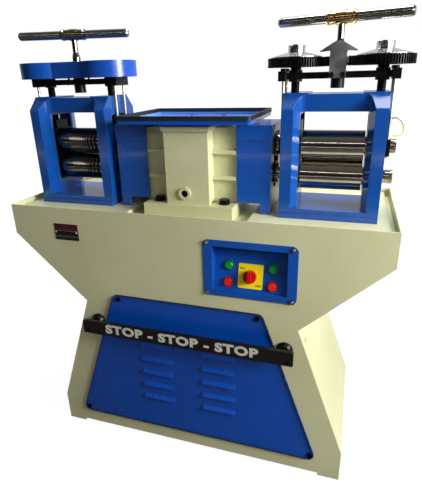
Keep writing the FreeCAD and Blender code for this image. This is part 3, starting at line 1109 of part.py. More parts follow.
# Hexagon bolts: from above through the plinth, and from under the bench into the feet of the stands
bolts = []
for x, y, size in ALL_BOLTS:
    head = new("Part::Prism", "bolt_head")
    head.Polygon = 6
    head.setExpression("Circumradius", ex(f"{size} * 0.9"))
    head.setExpression("Height", ex(f"{size} * 0.65"))
    if size == "case_bolt":
        head_z, washer_z, low, high = f"{PLINTH_TOP} + 2", PLINTH_TOP, LEDGE_TOP, f"{PLINTH_TOP} + 2"
    else:
        head_z, washer_z = f"{LEDGE_TOP} - 2 - {size} * 0.65", f"{LEDGE_TOP} - 2"
        low, high = washer_z, f"{WINDOW_Z} - 8"
    place(head, x, y, head_z)
    bolts.append(join("bolt", [head, rod("washer", "Z", x, y, washer_z, f"2 * {size}", 2),
                               rod("bolt_shank", "Z", x, y, low, size, f"{high} - ({low})")]))
node(group("bolt_group", bolts), "hold_down_bolts")

# ---------------------------------------------------------------------------------------------------
# Drive: motor, belts, input and intermediate shafts, two drive shafts and their couplings
# ---------------------------------------------------------------------------------------------------

FIRST_X, FINAL_X, PAIR_X = "-36", "-11", "15"
NECK = "(2 * (roll_pitch - drive_module * (final_teeth / 2 + 1) - 3))"
SHAFT_END = "(wing_reach + 30)"


TOOTH_ON_TOP = 90


def gap_below(teeth):
    """Phase of the upper gear of a pair, whose lower gear has a tooth on top."""
    return 180 / num(teeth) - 90


lower_shaft = rod("lower_shaft", "X", f"-{SHAFT_END}", ROLL_Y, "low_axis_z", "shaft_dia", f"2 * {SHAFT_END}")
final_gear = gear("final_gear", "drive_module", "final_teeth", "face_wide", "shaft_dia", "X",
                  FINAL_X, ROLL_Y, "low_axis_z", gap_below("final_teeth"))
lower_pinion = gear("lower_pinion", "drive_module", "pair_teeth", "face_wide", "shaft_dia", "X",
                    PAIR_X, ROLL_Y, "low_axis_z", TOOTH_ON_TOP)
node(group("lower_drive", [lower_shaft, final_gear, lower_pinion]), "lower_drive_shaft")

neck_start = f"({FINAL_X} - 2)"
neck_end = f"({FINAL_X} + face_wide + 2)"
upper_shaft = join("upper_shaft", [
    rod("upper_left", "X", f"-{SHAFT_END}", ROLL_Y, UP_AXIS_Z, "shaft_dia", f"{neck_start} + {SHAFT_END}"),
    rod("upper_neck", "X", neck_start, ROLL_Y, UP_AXIS_Z, NECK, f"{neck_end} - {neck_start}"),
    rod("upper_right", "X", neck_end, ROLL_Y, UP_AXIS_Z, "shaft_dia", f"{SHAFT_END} - {neck_end}")])
upper_pinion = gear("upper_pinion", "drive_module", "pair_teeth", "face_wide", "shaft_dia", "X",
                    PAIR_X, ROLL_Y, UP_AXIS_Z, gap_below("pair_teeth"))
node(group("upper_drive", [upper_shaft, upper_pinion]), "upper_drive_shaft")

LAY_END = f"({BORE_X} + bearing_wide - 1)"
lay_shaft = rod("lay_shaft", "X", f"-{LAY_END}", ROLL_Y, LAY_Z, "lay_dia", f"2 * {LAY_END}")
first_gear = gear("first_gear", "first_module", "first_teeth", 18, "lay_dia", "X",
                  FIRST_X, ROLL_Y, LAY_Z, gap_below("first_teeth"))
final_pinion = gear("final_pinion_wheel", "drive_module", "final_pinion", "face_wide", "lay_dia", "X",
                    FINAL_X, ROLL_Y, LAY_Z, TOOTH_ON_TOP)
node(group("intermediate", [lay_shaft, first_gear, final_pinion]), "intermediate_shaft")

input_shaft = rod("input_rod", "X", f"-{LAY_END}", ROLL_Y, INPUT_Z, "lay_dia",
                  f"{LAY_END} + pulley_x + pulley_wide / 2 + 3")
first_pinion = gear("first_pinion_wheel", "first_module", "first_pinion", 18, "lay_dia", "X",
                    FIRST_X, ROLL_Y, INPUT_Z, TOOTH_ON_TOP)
node(group("input_group", [input_shaft, first_pinion]), "input_shaft")

for which, z in (("lower", "low_axis_z"), ("upper", UP_AXIS_Z)):
    sleeves = []
    for s in (1, -1):
        rods = []
        for part, first, last, size in (
                ("sleeve", f"{SHAFT_END} - 22", "guard_outer + 2", "sleeve_dia"),
                ("sleeve_hub", f"{SHAFT_END} - 23", f"{SHAFT_END} + 1", "shaft_dia"),
                ("sleeve_well", SHAFT_END, "guard_outer + 3", "sleeve_bore")):
            low, high = mirrored(s, first, last)
            rods.append(rod(part, "X", low, ROLL_Y, z, size, f"{high} - ({low})"))
        sleeves.append(cut("sleeve_cut", rods[0], rods[1:]))
    node(group(which + "_sleeves", sleeves), which + "_couplings")


def pulley(name, z, belt_dia, bore):
    """Pulley with two grooves."""
    start = "pulley_x - pulley_wide / 2"
    body = rod(name + "_rim", "X", start, ROLL_Y, z, f"{belt_dia} + belt_thick + 2", "pulley_wide")
    tools = [rod(name + "_bore", "X", f"{start} - 1", ROLL_Y, z, bore, "pulley_wide + 2")]
    for a in (1, -1):
        x = f"pulley_x + {a} * 7 - belt_wide / 2 - move_gap"
        width = "belt_wide + 2 * move_gap"
        ring = rod(name + "_ring", "X", x, ROLL_Y, z, f"{belt_dia} + belt_thick + 4", width)
        tools.append(cut(name + "_groove", ring, [rod(name + "_root", "X", f"{x} - 1", ROLL_Y, z,
                                                      f"{belt_dia} - belt_thick - 2 * move_gap", f"{width} + 2")]))
    return cut(name + "_cut", body, tools)


node(pulley("input_pulley", INPUT_Z, "input_pulley_dia", "lay_dia"), "input_pulley")
node(pulley("motor_pulley", MOTOR_Z, "motor_pulley_dia", "motor_shaft_dia"), "motor_pulley")


def belt_loop(offset):
    """Closed outline of a belt around both pulleys, offset from its middle line."""
    low, high = num("motor_pulley_dia") / 2 + offset, num("input_pulley_dia") / 2 + offset
    rise = num(INPUT_Z) - num(MOTOR_Z)
    lean = (low - high) / rise
    side = math.sqrt(1 - lean ** 2)

    def point(radius, height, across, up):
        return FreeCAD.Vector(0, radius * across, height + radius * up)

    a, b = point(low, 0, -side, lean), point(low, 0, side, lean)
    c, d = point(high, rise, side, lean), point(high, rise, -side, lean)
    return Part.Wire([Part.Arc(a, point(low, 0, 0, -1), b).toShape(), Part.makeLine(b, c),
                      Part.Arc(c, point(high, rise, 0, 1), d).toShape(), Part.makeLine(d, a)])


belts = []
for a in (1, -1):
    half_thick = num("belt_thick") / 2
    ring = Part.Face(belt_loop(half_thick)).cut(Part.Face(belt_loop(-half_thick)))
    belt = new("Part::Feature", "belt")
    belt.Shape = ring.extrude(FreeCAD.Vector(num("belt_wide"), 0, 0))
    belts.append(place(belt, f"pulley_x + {a} * 7 - belt_wide / 2", ROLL_Y, MOTOR_Z))
node(group("belt_group", belts), "drive_belts")

motor_start = "(pulley_x - pulley_wide / 2 - 5 - motor_len)"
motor_solid = join("motor_solid", [
    rod("motor_frame", "X", motor_start, ROLL_Y, MOTOR_Z, "motor_dia", "motor_len"),
    box("motor_feet", f"{motor_start} + 50", f"{motor_start} + motor_len - 50", f"{ROLL_Y} - 78", f"{ROLL_Y} + 78",
        "shelf_z", "shelf_z + 14"),
    box("motor_web", f"{motor_start} + 60", f"{motor_start} + motor_len - 60", f"{ROLL_Y} - 55", f"{ROLL_Y} + 55",
        "shelf_z", MOTOR_Z),
    box("terminal_box", f"{motor_start} + 90", f"{motor_start} + 180", f"{ROLL_Y} - 45", f"{ROLL_Y} + 45",
        MOTOR_Z, f"{MOTOR_Z} + motor_dia / 2 + 38")])
motor_hollow = rod("motor_hollow", "X", f"{motor_start} + 14", ROLL_Y, MOTOR_Z, "motor_dia - 58", "motor_len - 28")
motor_bore = rod("motor_bore", "X", f"{motor_start} + 1", ROLL_Y, MOTOR_Z, "motor_shaft_dia + 2 * run_fit", "motor_len + 2")
node(cut("motor_cut", motor_solid, [motor_hollow, motor_bore]), "motor_housing")
rotor = join("rotor", [
    rod("motor_shaft", "X", f"{motor_start} + 3", ROLL_Y, MOTOR_Z, "motor_shaft_dia",
        "motor_len + pulley_wide + 5"),
    rod("rotor_core", "X", f"{motor_start} + 50", ROLL_Y, MOTOR_Z, "motor_dia - 62", "motor_len - 100")])
node(rotor, "motor_rotor")

# ---------------------------------------------------------------------------------------------------
# Coupling guards between the gearbox and the stands
# ---------------------------------------------------------------------------------------------------

GUARD_FRONT = f"({FRONT} + guard_front)"
GUARD_REAR = f"(2 * {ROLL_Y} - {GUARD_FRONT})"
GUARD_Z = "(bed_top + guard_foot)"
guards = []
for s in (1, -1):
    inner, outer, leg = f"{s} * guard_inner", f"{s} * guard_outer", f"{s} * (guard_outer - guard_leg)"
    shell = plate("guard_shell", "XZ", GUARD_FRONT, f"{GUARD_REAR} - {GUARD_FRONT}",
                  [(inner, GUARD_Z), (leg, GUARD_Z), (leg, "bed_top"), (outer, "bed_top"), (outer, "case_top"),
                   (inner, "case_top")])
    low, high = mirrored(s, "guard_inner - 1", "guard_outer - guard_sheet")
    hollow = box("guard_hollow", low, high, f"{GUARD_FRONT} + guard_sheet", f"{GUARD_REAR} - guard_sheet",
                 "bed_top - 1", "case_top - guard_sheet")
    low, high = mirrored(s, "guard_outer - 10", "guard_outer + 10")
    mouth = plate("guard_mouth", "YZ", low, f"{high} - {low}",
                  rectangle(f"{ROLL_Y} - sleeve_dia / 2 - 3", f"{ROLL_Y} + sleeve_dia / 2 + 3",
                            "low_axis_z - sleeve_dia / 2 - 3", f"{UP_AXIS_Z} + sleeve_dia / 2 + 3"),
                  [("12", (0, 1, 2, 3))])
    guards.append(cut("guard_cut", shell, [hollow, mouth]))
    low, high = mirrored(s, "guard_inner", "guard_outer + 2")
    lid_outer = box("guard_lid", low, high, f"{GUARD_FRONT} - 2", f"{GUARD_REAR} + 2", "case_top - guard_lid",
                    "case_top + 2")
    low, high = mirrored(s, "guard_inner - 1", "guard_outer")
    lid_inner = box("guard_lid_in", low, high, GUARD_FRONT, GUARD_REAR, "case_top - guard_lid - 1", "case_top")
    guards.append(cut("guard_lid_cut", lid_outer, [lid_inner, mouth]))
node(group("guard_group", guards), "coupling_guards")

# ---------------------------------------------------------------------------------------------------
# Build, test and export
# ---------------------------------------------------------------------------------------------------

doc.recompute()
faults = [item.Name for item in doc.Objects if "Invalid" in item.State or "Error" in item.State]
if faults:
    raise RuntimeError(f"features that failed: {faults}")
for part in nodes:
    if not part.Shape.isValid() or not part.Shape.Solids:
        raise RuntimeError(f"{part.Label} is not a valid solid")
for part in nodes:
    part.Shape.exportStep(f"parts/{part.Label}.step")
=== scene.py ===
import math

import bmesh
import bpy
from mathutils import Matrix, Vector


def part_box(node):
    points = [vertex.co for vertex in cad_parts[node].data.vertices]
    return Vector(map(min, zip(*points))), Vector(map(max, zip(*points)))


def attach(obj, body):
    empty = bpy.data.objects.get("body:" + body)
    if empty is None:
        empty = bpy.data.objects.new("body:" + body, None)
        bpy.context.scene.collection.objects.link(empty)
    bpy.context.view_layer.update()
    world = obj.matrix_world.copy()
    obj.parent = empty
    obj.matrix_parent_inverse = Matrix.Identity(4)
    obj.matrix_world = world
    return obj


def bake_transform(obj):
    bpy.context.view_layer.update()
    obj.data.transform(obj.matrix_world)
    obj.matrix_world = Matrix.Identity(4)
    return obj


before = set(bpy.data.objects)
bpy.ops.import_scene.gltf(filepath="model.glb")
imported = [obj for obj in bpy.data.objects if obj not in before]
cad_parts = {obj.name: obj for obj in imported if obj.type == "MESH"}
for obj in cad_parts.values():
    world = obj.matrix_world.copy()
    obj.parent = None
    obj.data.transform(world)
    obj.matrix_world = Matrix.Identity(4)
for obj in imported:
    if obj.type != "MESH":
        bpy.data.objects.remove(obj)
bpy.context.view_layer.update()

# ---------------------------------------------------------------------------------------------------
# Cabinet, feet, bench plates and gearbox housing
# The cabinet is folded from 3 mm steel sheet and welded; the gearbox housing is a grey iron casting.
# Both are stoved in one cream enamel, fairly glossy, with the faint ripple that sprayed enamel has.
# ---------------------------------------------------------------------------------------------------


def linear(code):
    """The linear RGBA colour of an sRGB hex code."""
    parts = [int(code[i:i + 2], 16) / 255 for i in (1, 3, 5)]
    return [p / 12.92 if p <= 0.04045 else ((p + 0.055) / 1.055) ** 2.4 for p in parts] + [1.0]


def add(tree, kind, wires=None, values=None, **settings):
    """Adds a shader node, with its settings, its input values and the links into it."""
    made = tree.nodes.new("ShaderNode" + kind)
    for name, value in settings.items():
        setattr(made, name, value)
    for socket, value in (values or {}).items():
        made.inputs[socket].default_value = value
    for socket, source in (wires or {}).items():
        tree.links.new(source, made.inputs[socket])
    return made


def surface(name, **values):
    """An empty finish: its material, node tree, shader and the place of a point on the object."""
    material = bpy.data.materials.new(name)
    material.use_nodes = True
    tree = material.node_tree
    shader = tree.nodes["Principled BSDF"]
    for socket, value in values.items():
        shader.inputs[socket.replace("_", " ")].default_value = value
    place = add(tree, "TexCoord").outputs["Object"]
    return material, tree, shader, place


def noise(tree, place, scale, detail=2.0, rough=0.5):
    """A noise texture's value at a place."""
    values = {"Scale": scale, "Detail": detail, "Roughness": rough}
    return add(tree, "TexNoise", {"Vector": place}, values).outputs["Fac"]


def remap(tree, value, low, high, to_low=0.0, to_high=1.0, **settings):
    """A value taken from one range to another, and held within it."""
    values = {"From Min": low, "From Max": high, "To Min": to_low, "To Max": to_high}
    return add(tree, "MapRange", {"Value": value}, values, **settings).outputs["Result"]


def mix(tree, factor, first, second):
    """Two colours mixed by a factor. Each is a hex code or the output of another node."""
    made = add(tree, "Mix", {"Factor": factor}, data_type="RGBA")
    for socket, colour in (("A", first), ("B", second)):
        if isinstance(colour, str):
            made.inputs[socket].default_value = linear(colour)
        else:
            tree.links.new(colour, made.inputs[socket])
    return made.outputs["Result"]


def rounded_edges(tree, radius, start, full, most):
    """Normals softened over the edges, and a mask over them for edge colour, which is wear on black metal and
    partly wear, partly painted light on enamel: none at a cosine of start, most at one of full.
    """
    rounded = add(tree, "Bevel", values={"Radius": radius}, samples=4).outputs["Normal"]
    facing = add(tree, "NewGeometry").outputs["Normal"]
    turn = add(tree, "VectorMath", {0: rounded, 1: facing}, operation="DOT_PRODUCT").outputs["Value"]
    return rounded, remap(tree, turn, start, full, 0.0, most)


def bumped(tree, height, strength, distance, normal=None):
    """Normals tilted by a height, on top of other normals where they are given."""
    wires = {"Height": height} if normal is None else {"Height": height, "Normal": normal}
    return add(tree, "Bump", wires, {"Strength": strength, "Distance": distance}).outputs["Normal"]


def connect(tree, shader, colour, rough=None, normal=None):
    """Links a colour into a shader, and a roughness and normals where they are given."""
    for socket, source in (("Base Color", colour), ("Roughness", rough), ("Normal", normal)):
        if source is not None:
            tree.links.new(source, shader.inputs[socket])


def dress(material, *names):
    """Gives CAD nodes a finish."""
    for name in names:
        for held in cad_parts[name].material_slots:
            held.material = material


def enamel(name, light, dark, edge_wear_and_painted_light, rough, ripple, grain=70.0, edge_wear_and_painted_light_share=0.0):
    """Stoved paint over metal: two close shades in broad clouds, a rippled gloss, and edges in another colour that
    is partly wear and partly painted light along them.
    """
    material, tree, shader, place = surface(name, Roughness=rough, IOR=1.5, Coat_Weight=0.2, Coat_Roughness=0.06)
    clouds = noise(tree, place, 3.5, 3.0, 0.6)
    shade = mix(tree, remap(tree, clouds, 0.2, 0.8, interpolation_type="SMOOTHSTEP"), dark, light)
    # The edge colour is partly wear and partly painted light: pale edges are painted highlight lines, and the pan's
    # dark edges are painted shade.
    rounded, edge = rounded_edges(tree, 0.0016, 0.985, 0.85, 0.25 + edge_wear_and_painted_light_share)
    connect(tree, shader, mix(tree, edge, shade, edge_wear_and_painted_light), remap(tree, clouds, 0.1, 0.9, rough - 0.06, rough + 0.08),
            bumped(tree, noise(tree, place, grain), ripple, 0.002, rounded))
    return material


# Their pale edges are partly wear and partly painted highlight lines.
cream = enamel("cream_stoved_enamel", "#D8D8AE", "#CDCB9E", "#EDEACC", 0.34, 0.04)
cast_cream = enamel("cream_enamel_on_cast_iron", "#D6D6AC", "#C9C79A", "#F2F0D6", 0.36, 0.22, 55.0)
dress(cream, "cabinet_shell", "foot_plates", "bench_plates")
dress(cast_cream, "gearbox_case", "oil_level_port")

# ---------------------------------------------------------------------------------------------------
# Front door, rear cover and cover screws
# Pressed sheet covers in gloss blue enamel. A black rubber edging sits round the door, its dark ring also standing
# for the shade in the gap round the door, and zinc-plated screws with dark, oiled heads hold both covers.
# ---------------------------------------------------------------------------------------------------

FRONT = -0.188                              # the front face of the cabinet's sheet
EDGING_WIDE, EDGING_PROUD = 0.0045, 0.006   # the door's edging, across and outwards
CLEAN_SCREWS = 0.53                         # screws above this height, on panel and tray, aren't oiled


def calc(tree, operation, *terms):
    """The result of a sum on terms that are numbers or the outputs of other nodes."""
    made = add(tree, "Math", operation=operation)
    for socket, term in zip(made.inputs, terms):
        if isinstance(term, float):
            socket.default_value = term
        else:
            tree.links.new(term, socket)
    return made.outputs["Value"]


def zone(tree, place, axis, test, limit):
    """1 where a coordinate passes a test against a limit, and 0 elsewhere."""
    return calc(tree, test, add(tree, "SeparateXYZ", {"Vector": place}).outputs[axis], limit)


def piece(name, mesh, body, material):
    """Makes a bmesh a finished piece of the machine, riding on a body where one is named."""
    bmesh.ops.remove_doubles(mesh, verts=mesh.verts, dist=1e-6)
    bmesh.ops.recalc_face_normals(mesh, faces=mesh.faces)
    data = bpy.data.meshes.new(name)
    mesh.to_mesh(data)
    mesh.free()
    data.polygons.foreach_set("use_smooth", [True] * len(data.polygons))
    data.set_sharp_from_angle(angle=math.radians(35))
    data.materials.append(material)
    made = bpy.data.objects.new(name, data)
    bpy.context.scene.collection.objects.link(made)
    if body:
        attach(made, body)
    return made


def rubber_finish(name, colour, rough):
    """Moulded black rubber: dull, with a fine pebbled skin and dust that greys it in patches."""
    material, tree, shader, place = surface(name, Roughness=rough, IOR=1.52)
    pebble = add(tree, "TexVoronoi", {"Vector": place}, {"Scale": 900.0}).outputs["Distance"]
    connect(tree, shader, mix(tree, noise(tree, place, 40.0, 4.0), colour, "#17181C"),
            normal=bumped(tree, pebble, 0.15, 0.0004))
    return material


# Its pale edges are partly wear and partly painted highlight.
sheet_blue = enamel("gloss_blue_enamel_on_sheet", "#0450BC", "#0346AA", "#5C86D8", 0.27, 0.05)
dark_rubber = rubber_finish("black_rubber_edging", "#0B0C12", 0.6)
dress(sheet_blue, "front_door", "rear_cover", "gearbox_lid")

# The door's outline is convex, so it is the hull of the corners of the door's rear face
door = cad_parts["front_door"].data
around_door = sorted({(round(v.co.x, 4), round(v.co.z, 4)) for v in door.vertices if v.co.y > FRONT - 0.001})
hull = []
for way in (around_door, around_door[::-1]):
    chain = []
    for point in way:
        while len(chain) > 1 and ((chain[-1][0] - chain[-2][0]) * (point[1] - chain[-2][1])
                                  <= (chain[-1][1] - chain[-2][1]) * (point[0] - chain[-2][0])):
            chain.pop()
        chain.append(point)
    hull += chain[:-1]
# The edging's dark ring is partly rubber and partly painted shade: it stands for the shadow gap round the door.
edging = bmesh.new()
outline = edging.faces.new([edging.verts.new((x, FRONT, z)) for x, z in hull])
bmesh.ops.inset_region(edging, faces=[outline], thickness=-EDGING_WIDE, use_even_offset=True, use_boundary=True)
bmesh.ops.delete(edging, geom=[outline], context="FACES_ONLY")
ring = bmesh.ops.extrude_face_region(edging, geom=edging.faces[:])
bmesh.ops.translate(edging, verts=[v for v in ring["geom"] if isinstance(v, bmesh.types.BMVert)],
                    vec=(0, -EDGING_PROUD, 0))
piece("door_edging_and_shadow_gap", edging, "machine", dark_rubber)

# Round-headed screws on the covers, the panel and the tray
screw_zinc, tree, shader, place = surface("zinc_plated_screw", Metallic=1.0, Roughness=0.3)
head = mix(tree, zone(tree, place, "Z", "GREATER_THAN", CLEAN_SCREWS), "#1A1B22", "#7088C8")
connect(tree, shader, head, remap(tree, noise(tree, place, 60.0), 0.35, 0.65, 0.22, 0.42),
        bumped(tree, noise(tree, place, 400.0), 0.1, 0.0005))
dress(screw_zinc, "cover_screws")

# ---------------------------------------------------------------------------------------------------
# Stop bar
# A flat steel bar in black paint across the door, carried by two plungers in turned black guides.
# The word on it is cut from white film, and a small screw near each end holds its plunger.
# ---------------------------------------------------------------------------------------------------

BAR_SCREW_X, BAR_SCREW_DROP = 0.292, 0.011   # the bar's screws, from its middle
WORD_X, WORD_RISE = -0.008, 0.001            # the word's middle, from the bar's


def black_metal(name, colour="#0B0B0D", wear_and_painted_reflection="#4A4A4E", rough=0.35, metallic=0.55):
    """Oiled black oxide or black paint on steel: nearly black, worn to grey at the edges."""
    material, tree, shader, place = surface(name, Metallic=metallic, Roughness=rough)
    rounded, edge = rounded_edges(tree, 0.001, 0.98, 0.8, 0.7)
    blotch = noise(tree, place, 25.0, 4.0, 0.6)
    connect(tree, shader, mix(tree, edge, colour, wear_and_painted_reflection), remap(tree, blotch, 0.3, 0.7, rough - 0.1, rough + 0.15),
            bumped(tree, noise(tree, place, 260.0), 0.12, 0.0008, rounded))
    return material


bar_paint = black_metal("black_paint_on_bar", "#0C0A0B", "#2A2628", 0.3, 0.0)
oxide = black_metal("oiled_black_oxide")
dress(bar_paint, "stop_bar")
dress(oxide, "stop_bar_guides", "stop_switch")


def lettering(name, words, size, stretch, bold, centre, body, material, tilt=90.0):
    """Plain sans lettering cut from thin film, standing in a plane that leans back by a tilt."""
    text = bpy.data.curves.new(name, "FONT")
    text.body, text.size, text.offset, text.extrude = words, size, bold, 0.00025
    text.align_x, text.align_y, text.space_character = "CENTER", "CENTER", 1.1
    text.resolution_u = 3
    shape = bpy.data.objects.new(name + "_shape", text)
    bpy.context.scene.collection.objects.link(shape)
    bpy.context.view_layer.update()
    mesh = bmesh.new()
    mesh.from_mesh(bpy.data.meshes.new_from_object(shape))
    bpy.data.objects.remove(shape)
    bmesh.ops.scale(mesh, verts=mesh.verts, vec=(stretch, 1.0, 1.0))
    bmesh.ops.rotate(mesh, verts=mesh.verts, cent=(0, 0, 0), matrix=Matrix.Rotation(math.radians(tilt), 3, "X"))
    bmesh.ops.translate(mesh, verts=mesh.verts, vec=centre)
    piece(name, mesh, body, material)


bar_low, bar_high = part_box("stop_bar")
bar_middle = (bar_low.z + bar_high.z) / 2
white_film, tree, shader, place = surface("white_vinyl_film", Roughness=0.4, IOR=1.5)
connect(tree, shader, mix(tree, noise(tree, place, 30.0, 3.0), "#E4E2D8", "#C6C3B8"))
lettering("stop_lettering", "STOP - STOP - STOP", size=0.037, stretch=1.24, bold=0.0017,
          centre=(WORD_X, bar_low.y - 0.0002, bar_middle + WORD_RISE), body="stop_bar",
          material=white_film)


def turned(mesh, profile, centre, axis, steps=32):
    """Adds a turned form: a line of (radius, height) points spun once round an axis through a centre."""
    before = set(mesh.verts)
    points = [mesh.verts.new((radius, 0, height)) for radius, height in profile]
    rim = [mesh.edges.new(pair) for pair in zip(points, points[1:])]
    bmesh.ops.spin(mesh, geom=points + rim, cent=(0, 0, 0), axis=(0, 0, 1), angle=math.tau, steps=steps,
                   use_merge=True)
    stand = Matrix.Translation(centre) @ Vector((0, 0, 1)).rotation_difference(Vector(axis)).to_matrix().to_4x4()
    bmesh.ops.transform(mesh, matrix=stand, verts=[v for v in mesh.verts if v not in before])


def socket_screw(mesh, centre, radius, tall):
    """Adds the round head of a socket screw, with its recess, facing the front."""
    turned(mesh, [(0, 0), (radius, 0), (radius, tall * 0.8), (radius * 0.85, tall), (radius * 0.5, tall),
                  (radius * 0.45, tall * 0.45), (0, tall * 0.45)], centre, (0, -1, 0))


bar_screws = bmesh.new()
for x in (-BAR_SCREW_X, BAR_SCREW_X):
    socket_screw(bar_screws, (x, bar_low.y + 0.0004, bar_middle - BAR_SCREW_DROP), radius=0.0042, tall=0.0022)
piece("stop_bar_screws", bar_screws, "stop_bar", screw_zinc)

# ---------------------------------------------------------------------------------------------------
# Control panel
# A pressed pan in blue enamel holds two start and two stop buttons of moulded plastic in rings of
# the same colour, and a red rotary knob on a yellow plate. The plate has ON and OFF printed on it.
# ---------------------------------------------------------------------------------------------------

PLATE_OUT, PLATE_UP, PLATE_REACH = 0.967, 0.256, 0.3213   # the switch plate's plane: normal and distance
PLATE_MARKS = (("ON", 0.1600, 0.6260), ("OFF", 0.2050, 0.5840))
PANEL_SCREWS_X, PANEL_SCREWS_Z = (0.0715, 0.2945), (0.5575, 0.6985)
DOME_OUT = 0.0051                                         # from the cabinet's front to the foot of a dome
BUTTONS_MIDDLE = 0.608                                    # height between the green and the red buttons

# The pan's dark edge colour is painted shade, where its rounded flange edge turns from the light.
panel_blue = enamel("gloss_blue_enamel_on_pan", "#0F55B4", "#0A4AA4", "#0B1E58", 0.18, 0.04, edge_wear_and_painted_light_share=0.4)
dress(panel_blue, "control_panel")


def plastic(name, colour, shade, rough=0.25):
    """Injection moulded plastic: even colour with a slight flow shade, glossy, with a very fine skin."""
    material, tree, shader, place = surface(name, Roughness=rough, IOR=1.5)
    connect(tree, shader, mix(tree, noise(tree, place, 45.0), colour, shade),
            normal=bumped(tree, noise(tree, place, 500.0), 0.06, 0.0004))
    return material


dress(plastic("green_moulded_plastic", "#14A048", "#0C8038"), "left_start_button", "right_start_button")
dress(plastic("red_moulded_plastic", "#F22A1E", "#D81A14"), "left_stop_button", "right_stop_button")
dress(plastic("dark_red_knob_plastic", "#D0141B", "#A80E14", 0.15), "switch_knob")
dress(plastic("yellow_plate_plastic", "#FFEC14", "#FFDE08", 0.3), "rotary_switch")

# The plate's face leans back with the pan's floor, so its marks do too
plate_black = plastic("black_plate_print", "#141416", "#1E1E22", 0.4)
for word, x, z in PLATE_MARKS:
    lettering("switch_plate_" + word, word, size=0.0078, stretch=1.0, bold=0.0002,
              centre=(x, (PLATE_UP * z - PLATE_REACH) / PLATE_OUT, z), body="machine",
              material=plate_black, tilt=math.degrees(math.acos(PLATE_UP)))


def bright_metal(name, colour, shade, rough, stretch, lines=0.05, smut="#6A6258", dirt=0.25):
    """Bare or plated metal: tool lines stretched along one direction, with smears of old oil."""
    material, tree, shader, place = surface(name, Metallic=1.0, Roughness=rough)
    tool = noise(tree, add(tree, "Mapping", {"Vector": place}, {"Scale": stretch}).outputs["Vector"], 1.0, 3.0)
    smear = noise(tree, place, 22.0, 4.0, 0.65)
    oily = mix(tree, remap(tree, smear, 0.5, 0.75, 0.0, dirt), mix(tree, tool, colour, shade), smut)
    connect(tree, shader, oily, remap(tree, smear, 0.35, 0.7, rough * 0.8, rough * 1.5 + 0.03),
            bumped(tree, tool, lines, 0.0006))
    return material


# Bright domed centres on the dark heads of the panel's screws
dome_zinc = bright_metal("polished_zinc_dome", "#F4F6FA", "#D8DCE4", 0.3, (200.0, 200.0, 200.0))
domes = bmesh.new()
for x in PANEL_SCREWS_X:
    for z in PANEL_SCREWS_Z:
        turned(domes, [(0.0036, 0.0), (0.0032, 0.0009), (0.0018, 0.0015), (0.0, 0.0017)],
               (x, FRONT - DOME_OUT, z), (0, -1, 0), 20)
piece("panel_screw_domes", domes, "machine", dome_zinc)

# Button rings take the colour of their button: green above, red below
ring_plastic, tree, shader, place = surface("button_ring_plastic", Roughness=0.3, IOR=1.5)
connect(tree, shader, mix(tree, zone(tree, place, "Z", "GREATER_THAN", BUTTONS_MIDDLE), "#A3201C", "#12643A"),
        normal=bumped(tree, noise(tree, place, 500.0), 0.08, 0.0004))
dress(ring_plastic, "button_bodies")

# ---------------------------------------------------------------------------------------------------
# Name plate
# Thin anodised sheet on two rivets, left without words: dark red bands above, a pale line, and
# black and grey fields below, where data would be stamped. The rivet heads stand proud and pale.
# ---------------------------------------------------------------------------------------------------

PLATE_BANDS = [(0.0, "#0E0E10"), (0.12, "#2C2B29"), (0.2, "#55504B"), (0.27, "#141416"), (0.32, "#0A0B0E"),
               (0.56, "#8A7D7A"), (0.585, "#4A1219"), (0.72, "#6A3038"), (0.75, "#3E0F16"), (0.88, "#5C222A"),
               (0.91, "#2A0C12")]
RIVETS_PROUD = 0.0006   # what lies nearer than this to the frontmost point is a rivet's head

plate_low, plate_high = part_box("name_plate")
plate_print, tree, shader, place = surface("printed_anodised_plate", Roughness=0.35, IOR=1.5)
height = add(tree, "SeparateXYZ", {"Vector": place}).outputs["Z"]
bands = add(tree, "ValToRGB", {"Fac": remap(tree, height, plate_low.z, plate_high.z)})
bands.color_ramp.interpolation = "CONSTANT"
for start, colour in PLATE_BANDS[2:]:
    bands.color_ramp.elements.new(start)
for stop, (start, colour) in zip(bands.color_ramp.elements, PLATE_BANDS):
    stop.position, stop.color = start, linear(colour)
proud = zone(tree, place, "Y", "LESS_THAN", plate_low.y + RIVETS_PROUD)
connect(tree, shader, mix(tree, proud, bands.outputs["Color"], "#F4F2EC"))
dress(plate_print, "name_plate")

# ---------------------------------------------------------------------------------------------------
# Roll stands
# One iron casting per mill: two posts, a foot and a top beam round an open window. Filled, rubbed
# down and sprayed in bright gloss blue, so that broad soft ripples of the casting show in the gloss.
# ---------------------------------------------------------------------------------------------------

# Their paler edges are partly wear and partly painted highlight.
cast_blue = enamel("bright_blue_enamel_on_casting", "#124FA2", "#0E4592", "#3D74DC", 0.13, 0.16, 38.0)
cover_blue = enamel("bright_blue_enamel_on_cover", "#0E4FAE", "#0A459E", "#3D74DC", 0.28, 0.2, 45.0)
dress(cast_blue, "right_stand", "left_stand")
dress(cover_blue, "left_gear_cover")
dress(oxide, "right_lower_chocks", "left_lower_chocks", "right_upper_chocks", "left_upper_chocks")

# ---------------------------------------------------------------------------------------------------
# Rolls
# Hardened steel rolls. The flat pair is ground and chromed to a mirror, with the finest of grinding
# lines round it; the wire pair has V-grooves turned in it and a duller, oiled finish.
# ---------------------------------------------------------------------------------------------------

ROLL_Y = -0.015                                                # the plane of all roll and screw axes
COLLAR_X = -0.4375
COLLAR_BORE, COLLAR_RADIUS, COLLAR_WIDE = 0.0228, 0.034, 0.004
COLLAR_CHAMFER = 0.001

